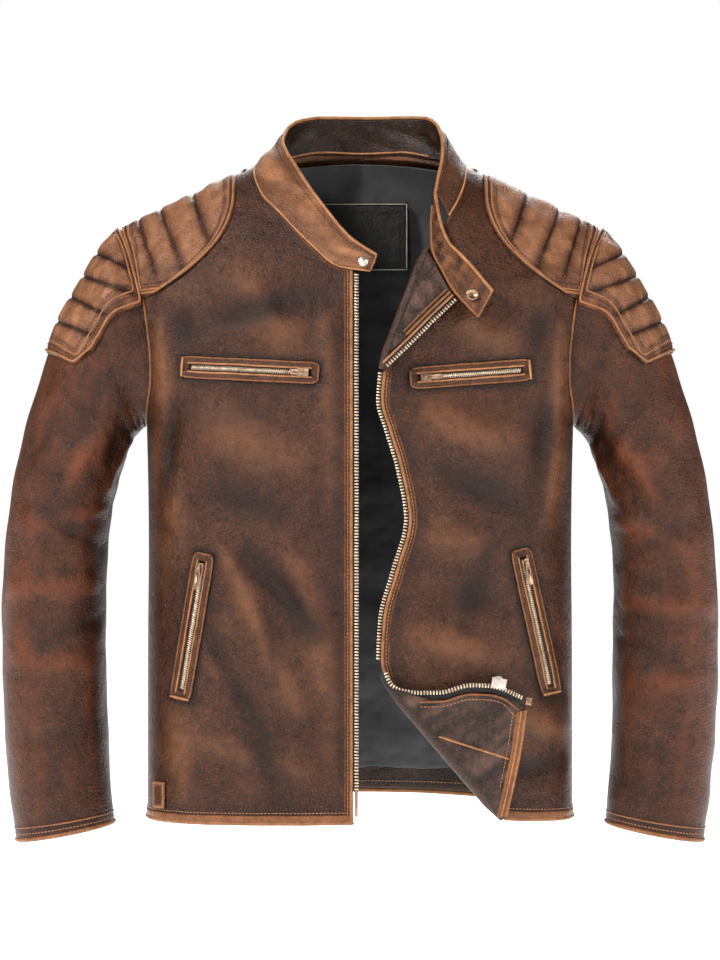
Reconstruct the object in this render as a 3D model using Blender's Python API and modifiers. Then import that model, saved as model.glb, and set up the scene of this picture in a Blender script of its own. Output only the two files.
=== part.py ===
"""Leather riding jacket, worn-shape, front open.

Metres, +Z up, the front faces -Y, the wearer's left is +X. The origin is the middle of the neck base.
Every leather or lining panel is a patch laid on one body surface, offset along that surface's normal,
then given its thickness by a Solidify modifier.
"""

import math

import bmesh
import bpy
from mathutils import Matrix, Vector

# ---- driving sizes (metres) ----
BODY_WIDTH_SCALE = 1.0  # chest and hem width, 1.0 is a 108 cm chest
BODY_DEPTH_SCALE = 1.0  # front-to-back depth
LEATHER = 0.0018  # panel leather with its backing
LINING = 0.0010
POCKETING = 0.0010
FACING = 0.0013
YOKE_PAD = 0.0030  # how far the quilted shoulder stands out of the body
SLEEVE_PAD = 0.0042  # thickness of the quilted sleeve cap
SEAM_GAP = 0.0010
LAYER_GAP = 0.0006
LINING_DEPTH = 0.0062  # from the outer surface to the lining
FOLD_RADIUS = 0.0050  # of the turned-back lapel and hem corner
CHAIN_WIDTH = 0.0055
CHAIN_THICK = 0.0022
SLIDER = (0.0080, 0.0110, 0.0032)
SLIDER_RISE = 0.0026  # slider's underside over the leather
PULL_WIDTH = 0.0056
PULL_THICK = 0.0012
CUFF_LENGTH_ADD = 0.0  # extra sleeve length

SECTION_POWER = 2.6
SHOULDER_POWER = 2.2
RIDGE_TOP = 0.084
RIDGE_SLOPE = 0.48
FRONT_ROUND = 0.130
BACK_ROUND = 0.080

# (height, half width), (height, front depth), (height, back depth)
HALF_WIDTH = (
    (-0.64, 0.2120), (-0.45, 0.2115), (-0.35, 0.2105), (-0.225, 0.2125), (-0.20, 0.2235),
    (-0.17, 0.2320), (-0.12, 0.2440), (-0.06, 0.2540), (0.0, 0.2600), (0.06, 0.2650),
)
FRONT_DEPTH = (
    (-0.64, 0.116), (-0.50, 0.113), (-0.40, 0.113), (-0.30, 0.119), (-0.22, 0.122),
    (-0.15, 0.117), (-0.10, 0.107), (-0.06, 0.094), (0.0, 0.077), (0.06, 0.066),
)
BACK_DEPTH = (
    (-0.64, 0.112), (-0.50, 0.106), (-0.40, 0.104), (-0.30, 0.110), (-0.20, 0.118),
    (-0.10, 0.116), (0.0, 0.104), (0.06, 0.098),
)
# armhole seam, (height, distance from the middle)
ARMHOLE = (
    (-0.225, 0.2125), (-0.205, 0.2080), (-0.185, 0.2042), (-0.165, 0.2039), (-0.135, 0.2067),
    (-0.103, 0.2121), (-0.068, 0.2224), (-0.0298, 0.2370),
)
ARMPIT_Z = ARMHOLE[0][0]
SHOULDER_Z = ARMHOLE[-1][0]
# sleeve sections: (outer x, outer z, inner x, inner z, half depth)
SLEEVE = (
    (0.2520, -0.045, 0.2165, -0.2285, 0.080), (0.2720, -0.076, 0.2235, -0.2360, 0.078),
    (0.2970, -0.120, 0.2305, -0.2490, 0.074), (0.3180, -0.175, 0.2375, -0.2680, 0.070),
    (0.3350, -0.232, 0.2440, -0.2920, 0.066), (0.3470, -0.290, 0.2495, -0.3250, 0.062),
    (0.3545, -0.350, 0.2530, -0.3660, 0.059), (0.3580, -0.410, 0.2535, -0.4150, 0.057),
    (0.3575, -0.470, 0.2530, -0.4700, 0.055), (0.3550, -0.530, 0.2515, -0.5260, 0.053),
    (0.3505, -0.585, 0.2495, -0.5760, 0.051), (0.3435, -0.6385, 0.2455, -0.6205, 0.049),
)
SLEEVE_SIDES = 20
PANEL_COLUMNS = 12
ZIP_EDGE_X = 0.0070  # leather edge beside the front zip
HEM_Z = -0.6100
# chest flat zone that carries the chest pockets
CHEST_FLAT_X = (0.040, 0.172)
CHEST_FLAT_Z = (-0.178, 0.016, 0.045)  # middle, half height, fade
LAPEL_TOP = (0.0676, -0.0530)
LAPEL_END = (0.0210, -0.1748)
CORNER_TOP = (0.0240, -0.4717)
CORNER_END = (0.1397, -0.6075)

# name: (start xz, end xz) of each pocket zip, and its pull length
POCKETS = {
    "chest_right": ((-0.0480, -0.1771), (-0.1645, -0.1707), 0.0150),
    "chest_left": ((0.0570, -0.1820), (0.1566, -0.1737), 0.0190),
    "hand_right": ((-0.1520, -0.3600), (-0.1733, -0.4850), 0.0230),
    "hand_left": ((0.1570, -0.3560), (0.1850, -0.4810), 0.0230),
}
WELT_WIDTH = 0.0072
SLOT_WIDTH = 0.0075
WELT_END = 0.0100
POCKET_DEPTH = 0.0041  # from the outer surface to the pocket bag
FACING_DEPTH = LEATHER + 0.0010


def smooth(table, t):
    """Monotone cubic through the table's points."""
    xs, ys = [a for a, _ in table], [b for _, b in table]
    if t <= xs[0]:
        return ys[0]
    if t >= xs[-1]:
        return ys[-1]
    steps = [b - a for a, b in zip(xs, xs[1:])]
    rises = [(b - a) / h for a, b, h in zip(ys, ys[1:], steps)]
    slopes = [rises[0]]
    for a, b in zip(rises, rises[1:]):
        slopes.append(0.0 if a * b <= 0 else 2 * a * b / (a + b))
    slopes.append(rises[-1])
    for i, h in enumerate(steps):
        if t <= xs[i + 1]:
            s = (t - xs[i]) / h
            return (
                ys[i] * (1 + 2 * s) * (1 - s) ** 2
                + h * slopes[i] * s * (1 - s) ** 2
                + ys[i + 1] * s * s * (3 - 2 * s)
                + h * slopes[i + 1] * s * s * (s - 1)
            )
    return ys[-1]


def half_width(z):
    return smooth(HALF_WIDTH, z) * BODY_WIDTH_SCALE


def ridge(x):
    """Height of the shoulder line."""
    return RIDGE_TOP - RIDGE_SLOPE * abs(x) / BODY_WIDTH_SCALE


def rounded(x, z, depths, reach):
    side = min(1.0, abs(x) / half_width(z))
    across = (1 - side**SECTION_POWER) ** (1 / SECTION_POWER)
    t = min(1.0, max(0.0, (ridge(x) - z) / reach))
    up = (1 - (1 - t) ** SHOULDER_POWER) ** (1 / SHOULDER_POWER)
    return smooth(depths, z) * BODY_DEPTH_SCALE * across * up


def fade(t):
    t = min(1.0, max(0.0, t))
    return t * t * (3 - 2 * t)


def front(x, z):
    """Y of the jacket's front surface."""
    plain = rounded(x, z, FRONT_DEPTH, FRONT_ROUND)
    middle, half, soft = CHEST_FLAT_Z
    share = 1 - fade((abs(z - middle) - half) / soft)
    lo, hi = (v * BODY_WIDTH_SCALE for v in CHEST_FLAT_X)
    if share > 0 and lo < abs(x) < hi:
        a = rounded(lo, z, FRONT_DEPTH, FRONT_ROUND)
        b = rounded(hi, z, FRONT_DEPTH, FRONT_ROUND)
        flat = a + (b - a) * (abs(x) - lo) / (hi - lo)
        plain += (flat - plain) * share
    return -plain


def back(x, z):
    return rounded(x, z, BACK_DEPTH, BACK_ROUND)


def on_front(x, z):
    return Vector((x, front(x, z), z))


def on_back(x, z):
    return Vector((x, back(x, z), z))


def front_normal(x, z, step=0.002):
    """Outward unit normal of the front surface."""
    dx = on_front(x + step, z) - on_front(x - step, z)
    dz = on_front(x, z + step) - on_front(x, z - step)
    n = dx.cross(dz).normalized()
    return n if n.y < 0 else -n


# ---- scene and materials ----
for old in list(bpy.data.objects):
    bpy.data.objects.remove(old, do_unlink=True)
PARTS = bpy.data.collections.new("leather_riding_jacket")
CUTTERS = bpy.data.collections.new("cutters")
bpy.context.scene.collection.children.link(PARTS)
bpy.context.scene.collection.children.link(CUTTERS)


def finish(name, colour, roughness, metallic=0.0):
    """Principled material from an sRGB colour."""
    linear = [c / 12.92 if c <= 0.04045 else ((c + 0.055) / 1.055) ** 2.4 for c in colour]
    made = bpy.data.materials.new(name)
    made.use_nodes = True
    shader = made.node_tree.nodes["Principled BSDF"]
    shader.inputs["Base Color"].default_value = (*linear, 1.0)
    shader.inputs["Roughness"].default_value = roughness
    shader.inputs["Metallic"].default_value = metallic
    return made


BROWN = finish("waxed_brown_leather", (0.36, 0.24, 0.18), 0.48)
TAN = finish("rubbed_tan_leather", (0.55, 0.38, 0.28), 0.45)
DARK_LEATHER = finish("dark_facing_leather", (0.27, 0.21, 0.17), 0.50)
LINING_CLOTH = finish("charcoal_lining", (0.17, 0.17, 0.17), 0.75)
BLACK_LEATHER = finish("black_patch_leather", (0.19, 0.18, 0.16), 0.55)
BRASS = finish("aged_brass", (0.72, 0.62, 0.50), 0.35, 1.0)
NICKEL = finish("pale_nickel", (0.82, 0.78, 0.72), 0.30, 1.0)


def add(name, mesh, material, collection=PARTS):
    made = bpy.data.objects.new(name, mesh)
    collection.objects.link(made)
    mesh.materials.append(material)
    return made


def grid_normals(rows, closed):
    """Unit normals of a grid of points, from its neighbours."""
    made = []
    for j, row in enumerate(rows):
        above, below = rows[min(j + 1, len(rows) - 1)], rows[max(j - 1, 0)]
        line = []
        for i in range(len(row)):
            if closed:
                east, west = row[(i + 1) % len(row)], row[i - 1]
            else:
                east, west = row[min(i + 1, len(row) - 1)], row[max(i - 1, 0)]
            line.append((east - west).cross(above[i] - below[i]).normalized())
        made.append(line)
    return made


def shell(name, rows, inset, thickness, material, closed=False, flip=False, holes=()):
    """A solid patch: rows of points, moved inwards by inset, then Solidify inwards."""
    normals = grid_normals(rows, closed)
    sign = -1.0 if flip else 1.0
    points = [
        p - n * sign * inset for row, line in zip(rows, normals) for p, n in zip(row, line)
    ]
    wide = len(rows[0])
    faces = []
    for j in range(len(rows) - 1):
        for i in range(wide if closed else wide - 1):
            if (j, i) in holes:
                continue
            k = (i + 1) % wide
            quad = (j * wide + i, j * wide + k, (j + 1) * wide + k, (j + 1) * wide + i)
            faces.append(quad[::-1] if flip else quad)
    mesh = bpy.data.meshes.new(name)
    mesh.from_pydata([tuple(p) for p in points], [], faces)
    mesh.update()
    made = add(name, mesh, material)
    solid = made.modifiers.new("thickness", "SOLIDIFY")
    solid.thickness = thickness
    solid.offset = -1.0
    mesh.shade_smooth()
    return made


def resample(points, count):
    """count points along a polyline, evenly by length."""
    points = [Vector(p) for p in points]
    lengths = [0.0]
    for a, b in zip(points, points[1:]):
        lengths.append(lengths[-1] + (b - a).length)
    made = []
    for k in range(count):
        at = lengths[-1] * k / (count - 1)
        i = max(0, min(len(points) - 2, sum(1 for v in lengths[1:] if v < at)))
        share = (at - lengths[i]) / max(1e-9, lengths[i + 1] - lengths[i])
        made.append(points[i].lerp(points[i + 1], share))
    return made


def rows_between(pairs, count, surface=on_front, bias=False):
    """Grid rows, each a straight run in (x, z) between a pair's two ends, laid on a surface."""
    made = []
    for (ax, az), (bx, bz) in pairs:
        row = []
        for i in range(count):
            t = i / (count - 1)
            t = math.sin(t * math.pi / 2) if bias else t
            row.append(surface(ax + (bx - ax) * t, az + (bz - az) * t))
        made.append(row)
    return made


def k(x):
    """A width on the body, scaled with it."""
    return x * BODY_WIDTH_SCALE


def out_row(z):
    """The panel's outer edge at a height under the armpit."""
    return (half_width(z), z)


# yoke border and neck as pairs that every panel around the shoulder shares
NECK = (
    (0.1065, 0.0328), (0.0962, -0.0003), (0.0781, -0.0205), (0.0583, -0.0420),
    (0.0368, -0.0630), (0.0193, -0.0750), (ZIP_EDGE_X, -0.0785),
)
NECK_OPEN = (
    (0.1065, 0.0328), (0.1040, 0.0130), (0.0968, -0.0056), (0.0868, -0.0234),
    (0.0775, -0.0375), LAPEL_TOP,
)
YOKE = (
    (0.1225, 0.0251), (0.1225, -0.0040), (0.1265, -0.0240), (0.1370, -0.0455),
    (0.1600, -0.0705), (0.1850, -0.0895), (0.2110, -0.1035),
)
BELOW = (-0.260, -0.300, -0.350, -0.400, -0.450, -0.500, -0.560)
ARM_ROWS = ((0.2067, -0.135), (0.2039, -0.165), (0.2045, -0.192), (0.2125, -0.225))


def side(pairs, sign):
    return [((sign * k(a[0]), a[1]), (sign * k(b[0]), b[1])) for a, b in pairs]


def front_right_pairs():
    pairs = list(zip(NECK, YOKE))
    pairs += [((ZIP_EDGE_X, z), (x, z)) for x, z in ARM_ROWS]
    pairs += [((ZIP_EDGE_X, z), (half_width(z) / BODY_WIDTH_SCALE, z)) for z in BELOW]
    pairs += [((ZIP_EDGE_X, HEM_Z), (0.2121, HEM_Z - 0.003))]
    return side(pairs, -1)


def front_left_pairs():
    pairs = list(zip(NECK_OPEN, YOKE))
    # the lapel's fold, then the free edge, then the hem corner's fold
    pairs += [
        ((0.0530, -0.0911), YOKE[-1]), ((0.0400, -0.1251), (0.2067, -0.135)),
        ((0.0286, -0.1549), (0.2039, -0.165)), ((0.0222, -0.1760), (0.2045, -0.192)),
        ((0.0202, -0.2032), (0.2125, -0.225)), ((0.0279, -0.2320), (0.2118, -0.250)),
        ((0.0394, -0.2704), (0.2110, -0.285)), ((0.0471, -0.3184), (0.2105, -0.330)),
        ((0.0347, -0.3666), (0.2106, -0.375)), ((0.0222, -0.4147), (0.2110, -0.420)),
        ((0.0202, -0.4532), (0.2113, -0.455)), (CORNER_TOP, (0.2114, -0.480)),
        ((0.0471, -0.4988), (0.2115, -0.510)), ((0.0703, -0.5260), (0.2116, -0.540)),
        ((0.0934, -0.5531), (0.2117, -0.565)), ((0.1166, -0.5803), (0.2119, -0.590)),
        (CORNER_END, (0.2121, HEM_Z - 0.003)),
    ]
    return side(pairs, 1)


def outward(rows, sign):
    """True where the grid's own normals point inwards."""
    n = grid_normals(rows, False)[len(rows) // 2][len(rows[0]) // 2]
    return n.y * sign < 0


def panel(name, rows, inset, thickness, material, facing=-1, holes=()):
    return shell(name, rows, inset, thickness, material, False, outward(rows, facing), holes)


def shrink(pairs, inner, outer):
    """The same rows, drawn in at both ends."""
    made = []
    for a, b in pairs:
        a, b = Vector(a), Vector(b)
        step = (b - a).normalized()
        made.append((tuple(a + step * inner), tuple(b - step * outer)))
    return made


RIGHT, LEFT = front_right_pairs(), front_left_pairs()
GAP = SEAM_GAP / 2
front_right = panel("front_panel_right", rows_between(shrink(RIGHT, GAP, GAP), PANEL_COLUMNS, bias=True), 0, LEATHER, BROWN)
front_left = panel("front_panel_left", rows_between(shrink(LEFT, GAP, GAP), PANEL_COLUMNS, bias=True), 0, LEATHER, BROWN)


# ---- back ----
def back_rows(top_cut=0.0):
    """Rows of the back, each an arch in (x, z) between its ends."""
    ends = [
        (0.1060, 0.0326, 0.0500), (0.1218, 0.0250, 0.0440), (0.1218, 0.0120, 0.0340),
        (0.1220, -0.0040, 0.0200), (0.1260, -0.0245, 0.0), (0.1372, -0.0465, -0.0300),
        (0.2238, -0.0635, -0.0560), (0.2121, -0.103, -0.103), (0.2067, -0.135, -0.135),
        (0.2039, -0.165, -0.165), (0.2045, -0.192, -0.192), (0.2120, -0.225, -0.225),
    ]
    ends += [(half_width(z) / BODY_WIDTH_SCALE, z, z) for z in BELOW]
    ends += [(0.2121, HEM_Z - 0.003, HEM_Z + 0.012)]
    made = []
    for x, z, middle in ends:
        x = k(x) - GAP
        row = []
        for i in range(13):
            s = math.sin((i / 6 - 1) * math.pi / 2)
            row.append(on_back(x * s, z - top_cut + (middle - z) * (1 - s * s)))
        made.append(row)
    return made


panel("back_panel", back_rows(), 0.0, LEATHER, BROWN, 1)


# ---- shoulder yokes, over the ridge from front to back ----
def yoke_rows(sign):
    fronts = (
        ((0.2050, -0.1000), (0.2128, -0.0990)), ((0.1855, -0.0882), (0.2160, -0.0890)),
        ((0.1608, -0.0692), (0.2205, -0.0745)), ((0.1380, -0.0447), (0.2250, -0.0610)),
        ((0.1275, -0.0235), (0.2295, -0.0485)), ((0.1236, -0.0040), (0.2335, -0.0390)),
        ((0.1234, 0.0120), (0.2352, -0.0345)), ((0.1234, 0.0215), (0.2362, -0.0314)),
        ((0.1234, 0.0244), (0.2364, -0.0299)),
    )
    rows = rows_between(side(fronts, sign), 6)
    top = rows_between(side([((0.1234, 0.0248), (0.2364, -0.0295))], sign), 6)
    rows += [[Vector((p.x, 0.0, ridge(p.x))) for p in top[0]]]
    backs = [fronts[8], fronts[7], fronts[6], fronts[5], fronts[4], fronts[3]]
    rows += rows_between(side(backs, sign), 6, on_back)
    return rows


for sign, word in ((-1, "right"), (1, "left")):
    rows = yoke_rows(sign)
    shell(f"shoulder_yoke_{word}", rows, -YOKE_PAD, YOKE_PAD + LEATHER, TAN, False, outward(rows[:9], -1))


# ---- sleeves ----
def armhole_ring(sign, grow=0.0):
    """The armhole seam as a closed ring, from the armpit up the front and down the back."""
    half, middle = (SHOULDER_Z - ARMPIT_Z) / 2, (SHOULDER_Z + ARMPIT_Z) / 2
    ring = []
    for i in range(SLEEVE_SIDES):
        a = 2 * math.pi * i / SLEEVE_SIDES
        z = middle - half * math.cos(a)
        x = smooth(ARMHOLE, z) * BODY_WIDTH_SCALE
        y = front(x, z) if a <= math.pi else back(x, z)
        ring.append(Vector((sign * (x + grow), y, z)))
    return ring


def sleeve_ring(sign, spec):
    """One oval section, inner side first, then the front, the outer side and the back."""
    ox, oz, ix, iz, depth = spec
    outer, inner = Vector((ox, 0.0, oz)), Vector((ix, 0.0, iz))
    shift = 0.2125 * (BODY_WIDTH_SCALE - 1)
    middle, arm = (outer + inner) / 2 + Vector((shift, 0, 0)), (inner - outer) / 2
    ring = []
    for i in range(SLEEVE_SIDES):
        a = 2 * math.pi * i / SLEEVE_SIDES
        p = middle + arm * math.cos(a) + Vector((0, -depth * BODY_DEPTH_SCALE * math.sin(a), 0))
        ring.append(Vector((sign * p.x, p.y, p.z)))
    return ring


def sleeve_rows(sign, start=SEAM_GAP):
    rings = [armhole_ring(sign, start)]
    specs = list(SLEEVE[:-1])
    ox, oz, ix, iz, depth = SLEEVE[-1]
    specs.append((ox, oz - CUFF_LENGTH_ADD, ix, iz - CUFF_LENGTH_ADD, depth))
    return rings + [sleeve_ring(sign, spec) for spec in specs]


def tube_flip(rows):
    """True where a closed grid's normals point to its middle."""
    ring, line = rows[3], grid_normals(rows, True)[3]
    centre = sum(ring, Vector()) / len(ring)
    return (ring[0] - centre).dot(line[0]) < 0


def blend_rows(rows, t):
    """A ring part way between the rings t and t + 1."""
    i = min(int(t), len(rows) - 2)
    return [a.lerp(b, t - i) for a, b in zip(rows[i], rows[i + 1])]


PAD_STEPS = (0.12, 1.0, 2.0, 3.0, 3.45)
PAD_SIDES = range(6, SLEEVE_SIDES - 5)
for sign, word in ((-1, "right"), (1, "left")):
    rows = sleeve_rows(sign)
    shell(f"sleeve_{word}", rows, 0, LEATHER, BROWN, True, tube_flip(rows))
    lining = sleeve_rows(sign, 0.004)
    lining = [lining[0], lining[1], lining[2], lining[4], lining[6], lining[9], blend_rows(lining, 11.3)]
    inset = LINING_DEPTH - 0.001
    shell(f"sleeve_lining_{word}", lining, inset, LINING, LINING_CLOTH, True, tube_flip(rows))
    pad = [[blend_rows(rows, t)[i] for i in PAD_SIDES] for t in PAD_STEPS]
    lift = LAYER_GAP + SLEEVE_PAD
    inwards = grid_normals(pad, False)[2][4].x * sign < 0
    shell(f"sleeve_pad_{word}", pad, -lift, SLEEVE_PAD, TAN, False, inwards)

# ---- collar ----
# (x, z) on the body at the seam, + 1 front or - 1 back, then the top edge's point
COLLAR = (
    ((0.0095, -0.0775, 1), (0.0155, -0.101, -0.0624)), ((-0.0193, -0.0735, 1), (-0.0097, -0.092, -0.0450)),
    ((-0.0470, -0.0520, 1), (-0.0332, -0.076, -0.0162)), ((-0.0781, -0.0190, 1), (-0.0531, -0.055, 0.0120)),
    ((-0.0962, 0.0010, 1), (-0.0650, -0.034, 0.0325)), ((-0.1040, 0.0200, 1), (-0.0740, -0.015, 0.0480)),
    ((-0.1055, 0.0333, 1), (-0.0780, 0.003, 0.0600)), ((-0.0970, 0.0350, -1), (-0.0750, 0.024, 0.0730)),
    ((-0.0800, 0.0395, -1), (-0.0640, 0.044, 0.0835)), ((-0.0450, 0.0470, -1), (-0.0400, 0.062, 0.0892)),
    ((0.0, 0.0498, -1), (0.0, 0.070, 0.0900)), ((0.0450, 0.0470, -1), (0.0420, 0.063, 0.0892)),
    ((0.0800, 0.0395, -1), (0.0680, 0.047, 0.0870)), ((0.0970, 0.0350, -1), (0.0790, 0.026, 0.0780)),
    ((0.1055, 0.0333, 1), (0.0832, 0.003, 0.0600)), ((0.1035, 0.0150, 1), (0.0820, -0.018, 0.0410)),
    ((0.0968, -0.0040, 1), (0.0775, -0.038, 0.0200)), ((0.0868, -0.0218, 1), (0.0740, -0.055, 0.0018)),
)


def collar_rows(low, high):
    """Rows up the collar, from a share low to a share high of its height."""
    made = []
    for j in range(4):
        t = low + (high - low) * j / 3
        row = []
        for (x, z, which), top in COLLAR:
            foot = on_front(k(x), z) if which > 0 else on_back(k(x), z)
            head = Vector((k(top[0]), top[1] * BODY_DEPTH_SCALE, top[2]))
            bulge = 0.0025 * math.sin(math.pi * t)
            middle = foot.lerp(head, t)
            out = Vector((middle.x, middle.y, 0)).normalized()
            row.append(middle + out * bulge)
        made.append(row)
    return made


def collar_flip(rows):
    n = grid_normals(rows, False)[1][4]
    return n.x > 0


rows = collar_rows(0.06, 1.0)
shell("collar_shell", rows, 0, LEATHER, TAN, False, collar_flip(rows))
rows = collar_rows(0.12, 0.94)
shell("collar_lining", rows, LEATHER + 2 * LAYER_GAP, FACING, DARK_LEATHER, False, collar_flip(rows))

# ---- lining, facings and the hem band, inside the leather ----
shell_rows = rows_between(shrink(RIGHT[1:], 0.006, GAP), 9, bias=True)
panel("lining_front_right", shell_rows, LINING_DEPTH, LINING, LINING_CLOTH)
inner_left = [((a[0] + min(0.020, 0.2 * (b[0] - a[0])), a[1]), b) for a, b in LEFT]
panel("lining_front_left", rows_between(shrink(inner_left[1:], 0.004, GAP), 9, bias=True), LINING_DEPTH, LINING, LINING_CLOTH)
low_back = back_rows()
upper, lower = low_back[-2:]
low_back = low_back[1:5] + low_back[6:-1] + [[a.lerp(b, 0.3) for a, b in zip(upper, lower)]]
panel("lining_back", low_back, LINING_DEPTH, LINING, LINING_CLOTH, 1)

heights = [-0.090, -0.15, -0.22, -0.30, -0.38, -0.46, -0.54, HEM_Z + 0.004]
panel("facing_right", rows_between([((-k(0.0430), z - 0.002), (-k(0.0080), z)) for z in heights], 4), FACING_DEPTH, FACING, DARK_LEATHER)
edge = LEFT[9:17]
panel("facing_left", rows_between([((a[0] + 0.002, a[1]), (a[0] + 0.017, a[1] - 0.002)) for a, b in edge], 3), FACING_DEPTH, FACING, DARK_LEATHER)
upper, lower = back_rows()[-2:]
band = [[a.lerp(b, t) for a, b in list(zip(upper, lower))[1:-1]] for t in (0.35, 0.98)]
panel("hem_facing_back", band, FACING_DEPTH, FACING, DARK_LEATHER, 1)

# blank maker's patch: a flat sewn-on tile inside the back neck
PATCH = (0.0900, 0.0690, 0.0014)
PATCH_AT = (0.0040, -0.0300)
def box(name, size, matrix, material, bevel=0.0, collection=PARTS, segments=1):
    """A bevelled block whose local axes and middle are the matrix's."""
    mesh = bpy.data.meshes.new(name)
    block = bmesh.new()
    bmesh.ops.create_cube(block, size=1.0)
    bmesh.ops.scale(block, vec=size, verts=block.verts)
    block.to_mesh(mesh)
    block.free()
    made = add(name, mesh, material, collection)
    made.matrix_world = matrix
    if bevel > 0:
        edge_bevel = made.modifiers.new("edges", "BEVEL")
        edge_bevel.width = bevel
        edge_bevel.segments = segments
    return made


def axes(origin, x_axis, z_axis):
    """A frame from its origin, its x direction and roughly its z direction."""
    x = x_axis.normalized()
    y = z_axis.cross(x).normalized()
    z = x.cross(y).normalized()
    made = Matrix((x, y, z)).transposed().to_4x4()
    made.translation = origin
    return made


patch_depth = min(back(PATCH_AT[0] + sx * 0.045, PATCH_AT[1] + sz * 0.035) for sx in (-1, 1) for sz in (-1, 1))
patch_y = patch_depth - LINING_DEPTH - LINING - PATCH[2] / 2 - 0.0015
box(
    "label_patch", (PATCH[0], PATCH[1], PATCH[2]),
    axes(Vector((PATCH_AT[0], patch_y, PATCH_AT[1])), Vector((1, 0, 0)), Vector((0, -1, 0))),
    BLACK_LEATHER,
)

# ---- front zip ----
heights = [-0.0800, -0.14, -0.20, -0.28, -0.36, -0.44, -0.52, -0.5780]
strip = [((-ZIP_EDGE_X + 0.0008, z), (-ZIP_EDGE_X + 0.0008 + CHAIN_WIDTH, z)) for z in heights]
panel("front_zip_right", rows_between(strip, 3), -0.0002, CHAIN_THICK, BRASS)
pin_low, pin_high = on_front(-ZIP_EDGE_X + 0.004, -0.6020), on_front(-ZIP_EDGE_X + 0.004, -0.5790)
pin_high.y = pin_low.y
box(
    "front_zip_pin", (0.0230, 0.0030, 0.0026),
    axes((pin_low + pin_high) / 2, pin_high - pin_low, Vector((0, -1, 0))), BRASS, 0.0006,
)
edge = LEFT[9:18]
panel("front_zip_left", rows_between([((a[0] - 0.0060, a[1]), (a[0] - 0.0006, a[1])) for a, b in edge[:-1]], 3), -0.0002, CHAIN_THICK, BRASS)


# ---- pieces folded over the front: lapel with the collar end, and the hem corner ----
def over(lift):
    """A surface that stands off the front by lift."""
    def place(x, z):
        return on_front(x, z) + Vector((0, -lift, 0))
    return place


OUTER_LIFT = 2 * FOLD_RADIUS
FACE_LIFT = OUTER_LIFT + LEATHER + 4 * LAYER_GAP
LAPEL = (
    ((0.0655, -0.0605), (0.0712, -0.0700)), ((0.0640, -0.0645), (0.0760, -0.0790)),
    ((0.0595, -0.0760), (0.0845, -0.0950)), ((0.0545, -0.0890), (0.0878, -0.1018)),
    ((0.0465, -0.1100), (0.0706, -0.1185)), ((0.0397, -0.1280), (0.0530, -0.1350)),
    ((0.0330, -0.1450), (0.0354, -0.1512)),
)
CORNER = (
    ((0.0400, -0.4901), (0.0560, -0.4916)), ((0.0475, -0.4985), (0.0768, -0.4914)),
    ((0.0661, -0.5202), (0.1057, -0.4850)), ((0.0846, -0.5419), (0.1349, -0.4884)),
    ((0.1031, -0.5636), (0.1600, -0.5030)), ((0.1193, -0.5827), (0.1545, -0.5400)),
    ((0.1309, -0.5962), (0.1470, -0.5760)), ((0.1384, -0.6051), (0.1415, -0.6000)),
)
TAB = (
    ((0.0690, -0.0555), (0.0765, -0.0360)), ((0.0712, -0.0620), (0.0861, -0.0508)),
    ((0.0786, -0.0770), (0.0960, -0.0615)), ((0.0890, -0.0962), (0.1071, -0.0735)),
    ((0.1010, -0.1100), (0.1180, -0.0870)), ((0.1133, -0.1234), (0.1271, -0.0980)),
)


def plate(name, pairs, lift, thickness, material):
    rows = rows_between(side(pairs, 1), 4, over(lift))
    return shell(name, rows, -thickness, thickness, material, False, outward(rows, -1))


plate("lapel_shell", LAPEL, OUTER_LIFT, LEATHER, BROWN)
plate("lapel_facing", LAPEL, FACE_LIFT, FACING, DARK_LEATHER)
plate("hem_corner_shell", CORNER, OUTER_LIFT, LEATHER, BROWN)
plate("hem_corner_facing", CORNER, FACE_LIFT, FACING, DARK_LEATHER)
plate("collar_tab", TAB, OUTER_LIFT, LEATHER + FACING, DARK_LEATHER)

LAPEL_ZIP = ((0.0932, -0.1070), (0.0240, -0.1722))
LAPEL_ZIP_IN = ((0.0895, -0.1030), (0.0203, -0.1682))
steps = [i / 5 for i in range(6)]
strip = [
    (
        tuple(Vector(LAPEL_ZIP_IN[0]).lerp(Vector(LAPEL_ZIP_IN[1]), t)),
        tuple(Vector(LAPEL_ZIP[0]).lerp(Vector(LAPEL_ZIP[1]), t)),
    )
    for t in steps
]
plate("front_zip_lapel", strip, OUTER_LIFT + 0.0010, CHAIN_THICK, BRASS)
CORNER_ZIP = (
    (0.0383, -0.4813), (0.0570, -0.4840), (0.0768, -0.4838), (0.1057, -0.4772),
    (0.1220, -0.4778), (0.1349, -0.4806), (0.1560, -0.4905),
)
strip = [((x, z - CHAIN_WIDTH), (x, z)) for x, z in CORNER_ZIP]
plate("front_zip_corner", strip, OUTER_LIFT + 0.0010, CHAIN_THICK, BRASS)
FLAP_ZIP_TOP = OUTER_LIFT + 0.0010 + CHAIN_THICK


def roll(name, start, end, first, last):
    """The bend of a fold: a half pipe along the fold line, its hollow towards the flap."""
    a, b = Vector(start), Vector(end)
    along = (b - a).normalized()
    away = Vector((along.y, -along.x))
    if away.x > 0:
        away = -away
    rows = []
    for j in range(7):
        at = a.lerp(b, first + (last - first) * j / 6)
        centre = on_front(k(at.x), at.y) + Vector((0, -FOLD_RADIUS, 0))
        row = []
        for i in range(7):
            turn = math.radians(20 + 138 * i / 6)
            reach = FOLD_RADIUS + LEATHER + FACING
            place = Vector((away.x, 0, away.y)) * (math.sin(turn) * reach)
            row.append(centre + place + Vector((0, -math.cos(turn) * reach, 0)))
        rows.append(row)
    n = grid_normals(rows, False)[3][3]
    shell(name, rows, 0, LEATHER + FACING, DARK_LEATHER, False, n.dot(Vector((away.x, 0, away.y))) < 0)


roll("lapel_roll", LAPEL_TOP, LAPEL_END, 0.0, 0.80)
roll("hem_corner_roll", CORNER_TOP, CORNER_END, 0.10, 0.97)


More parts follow.
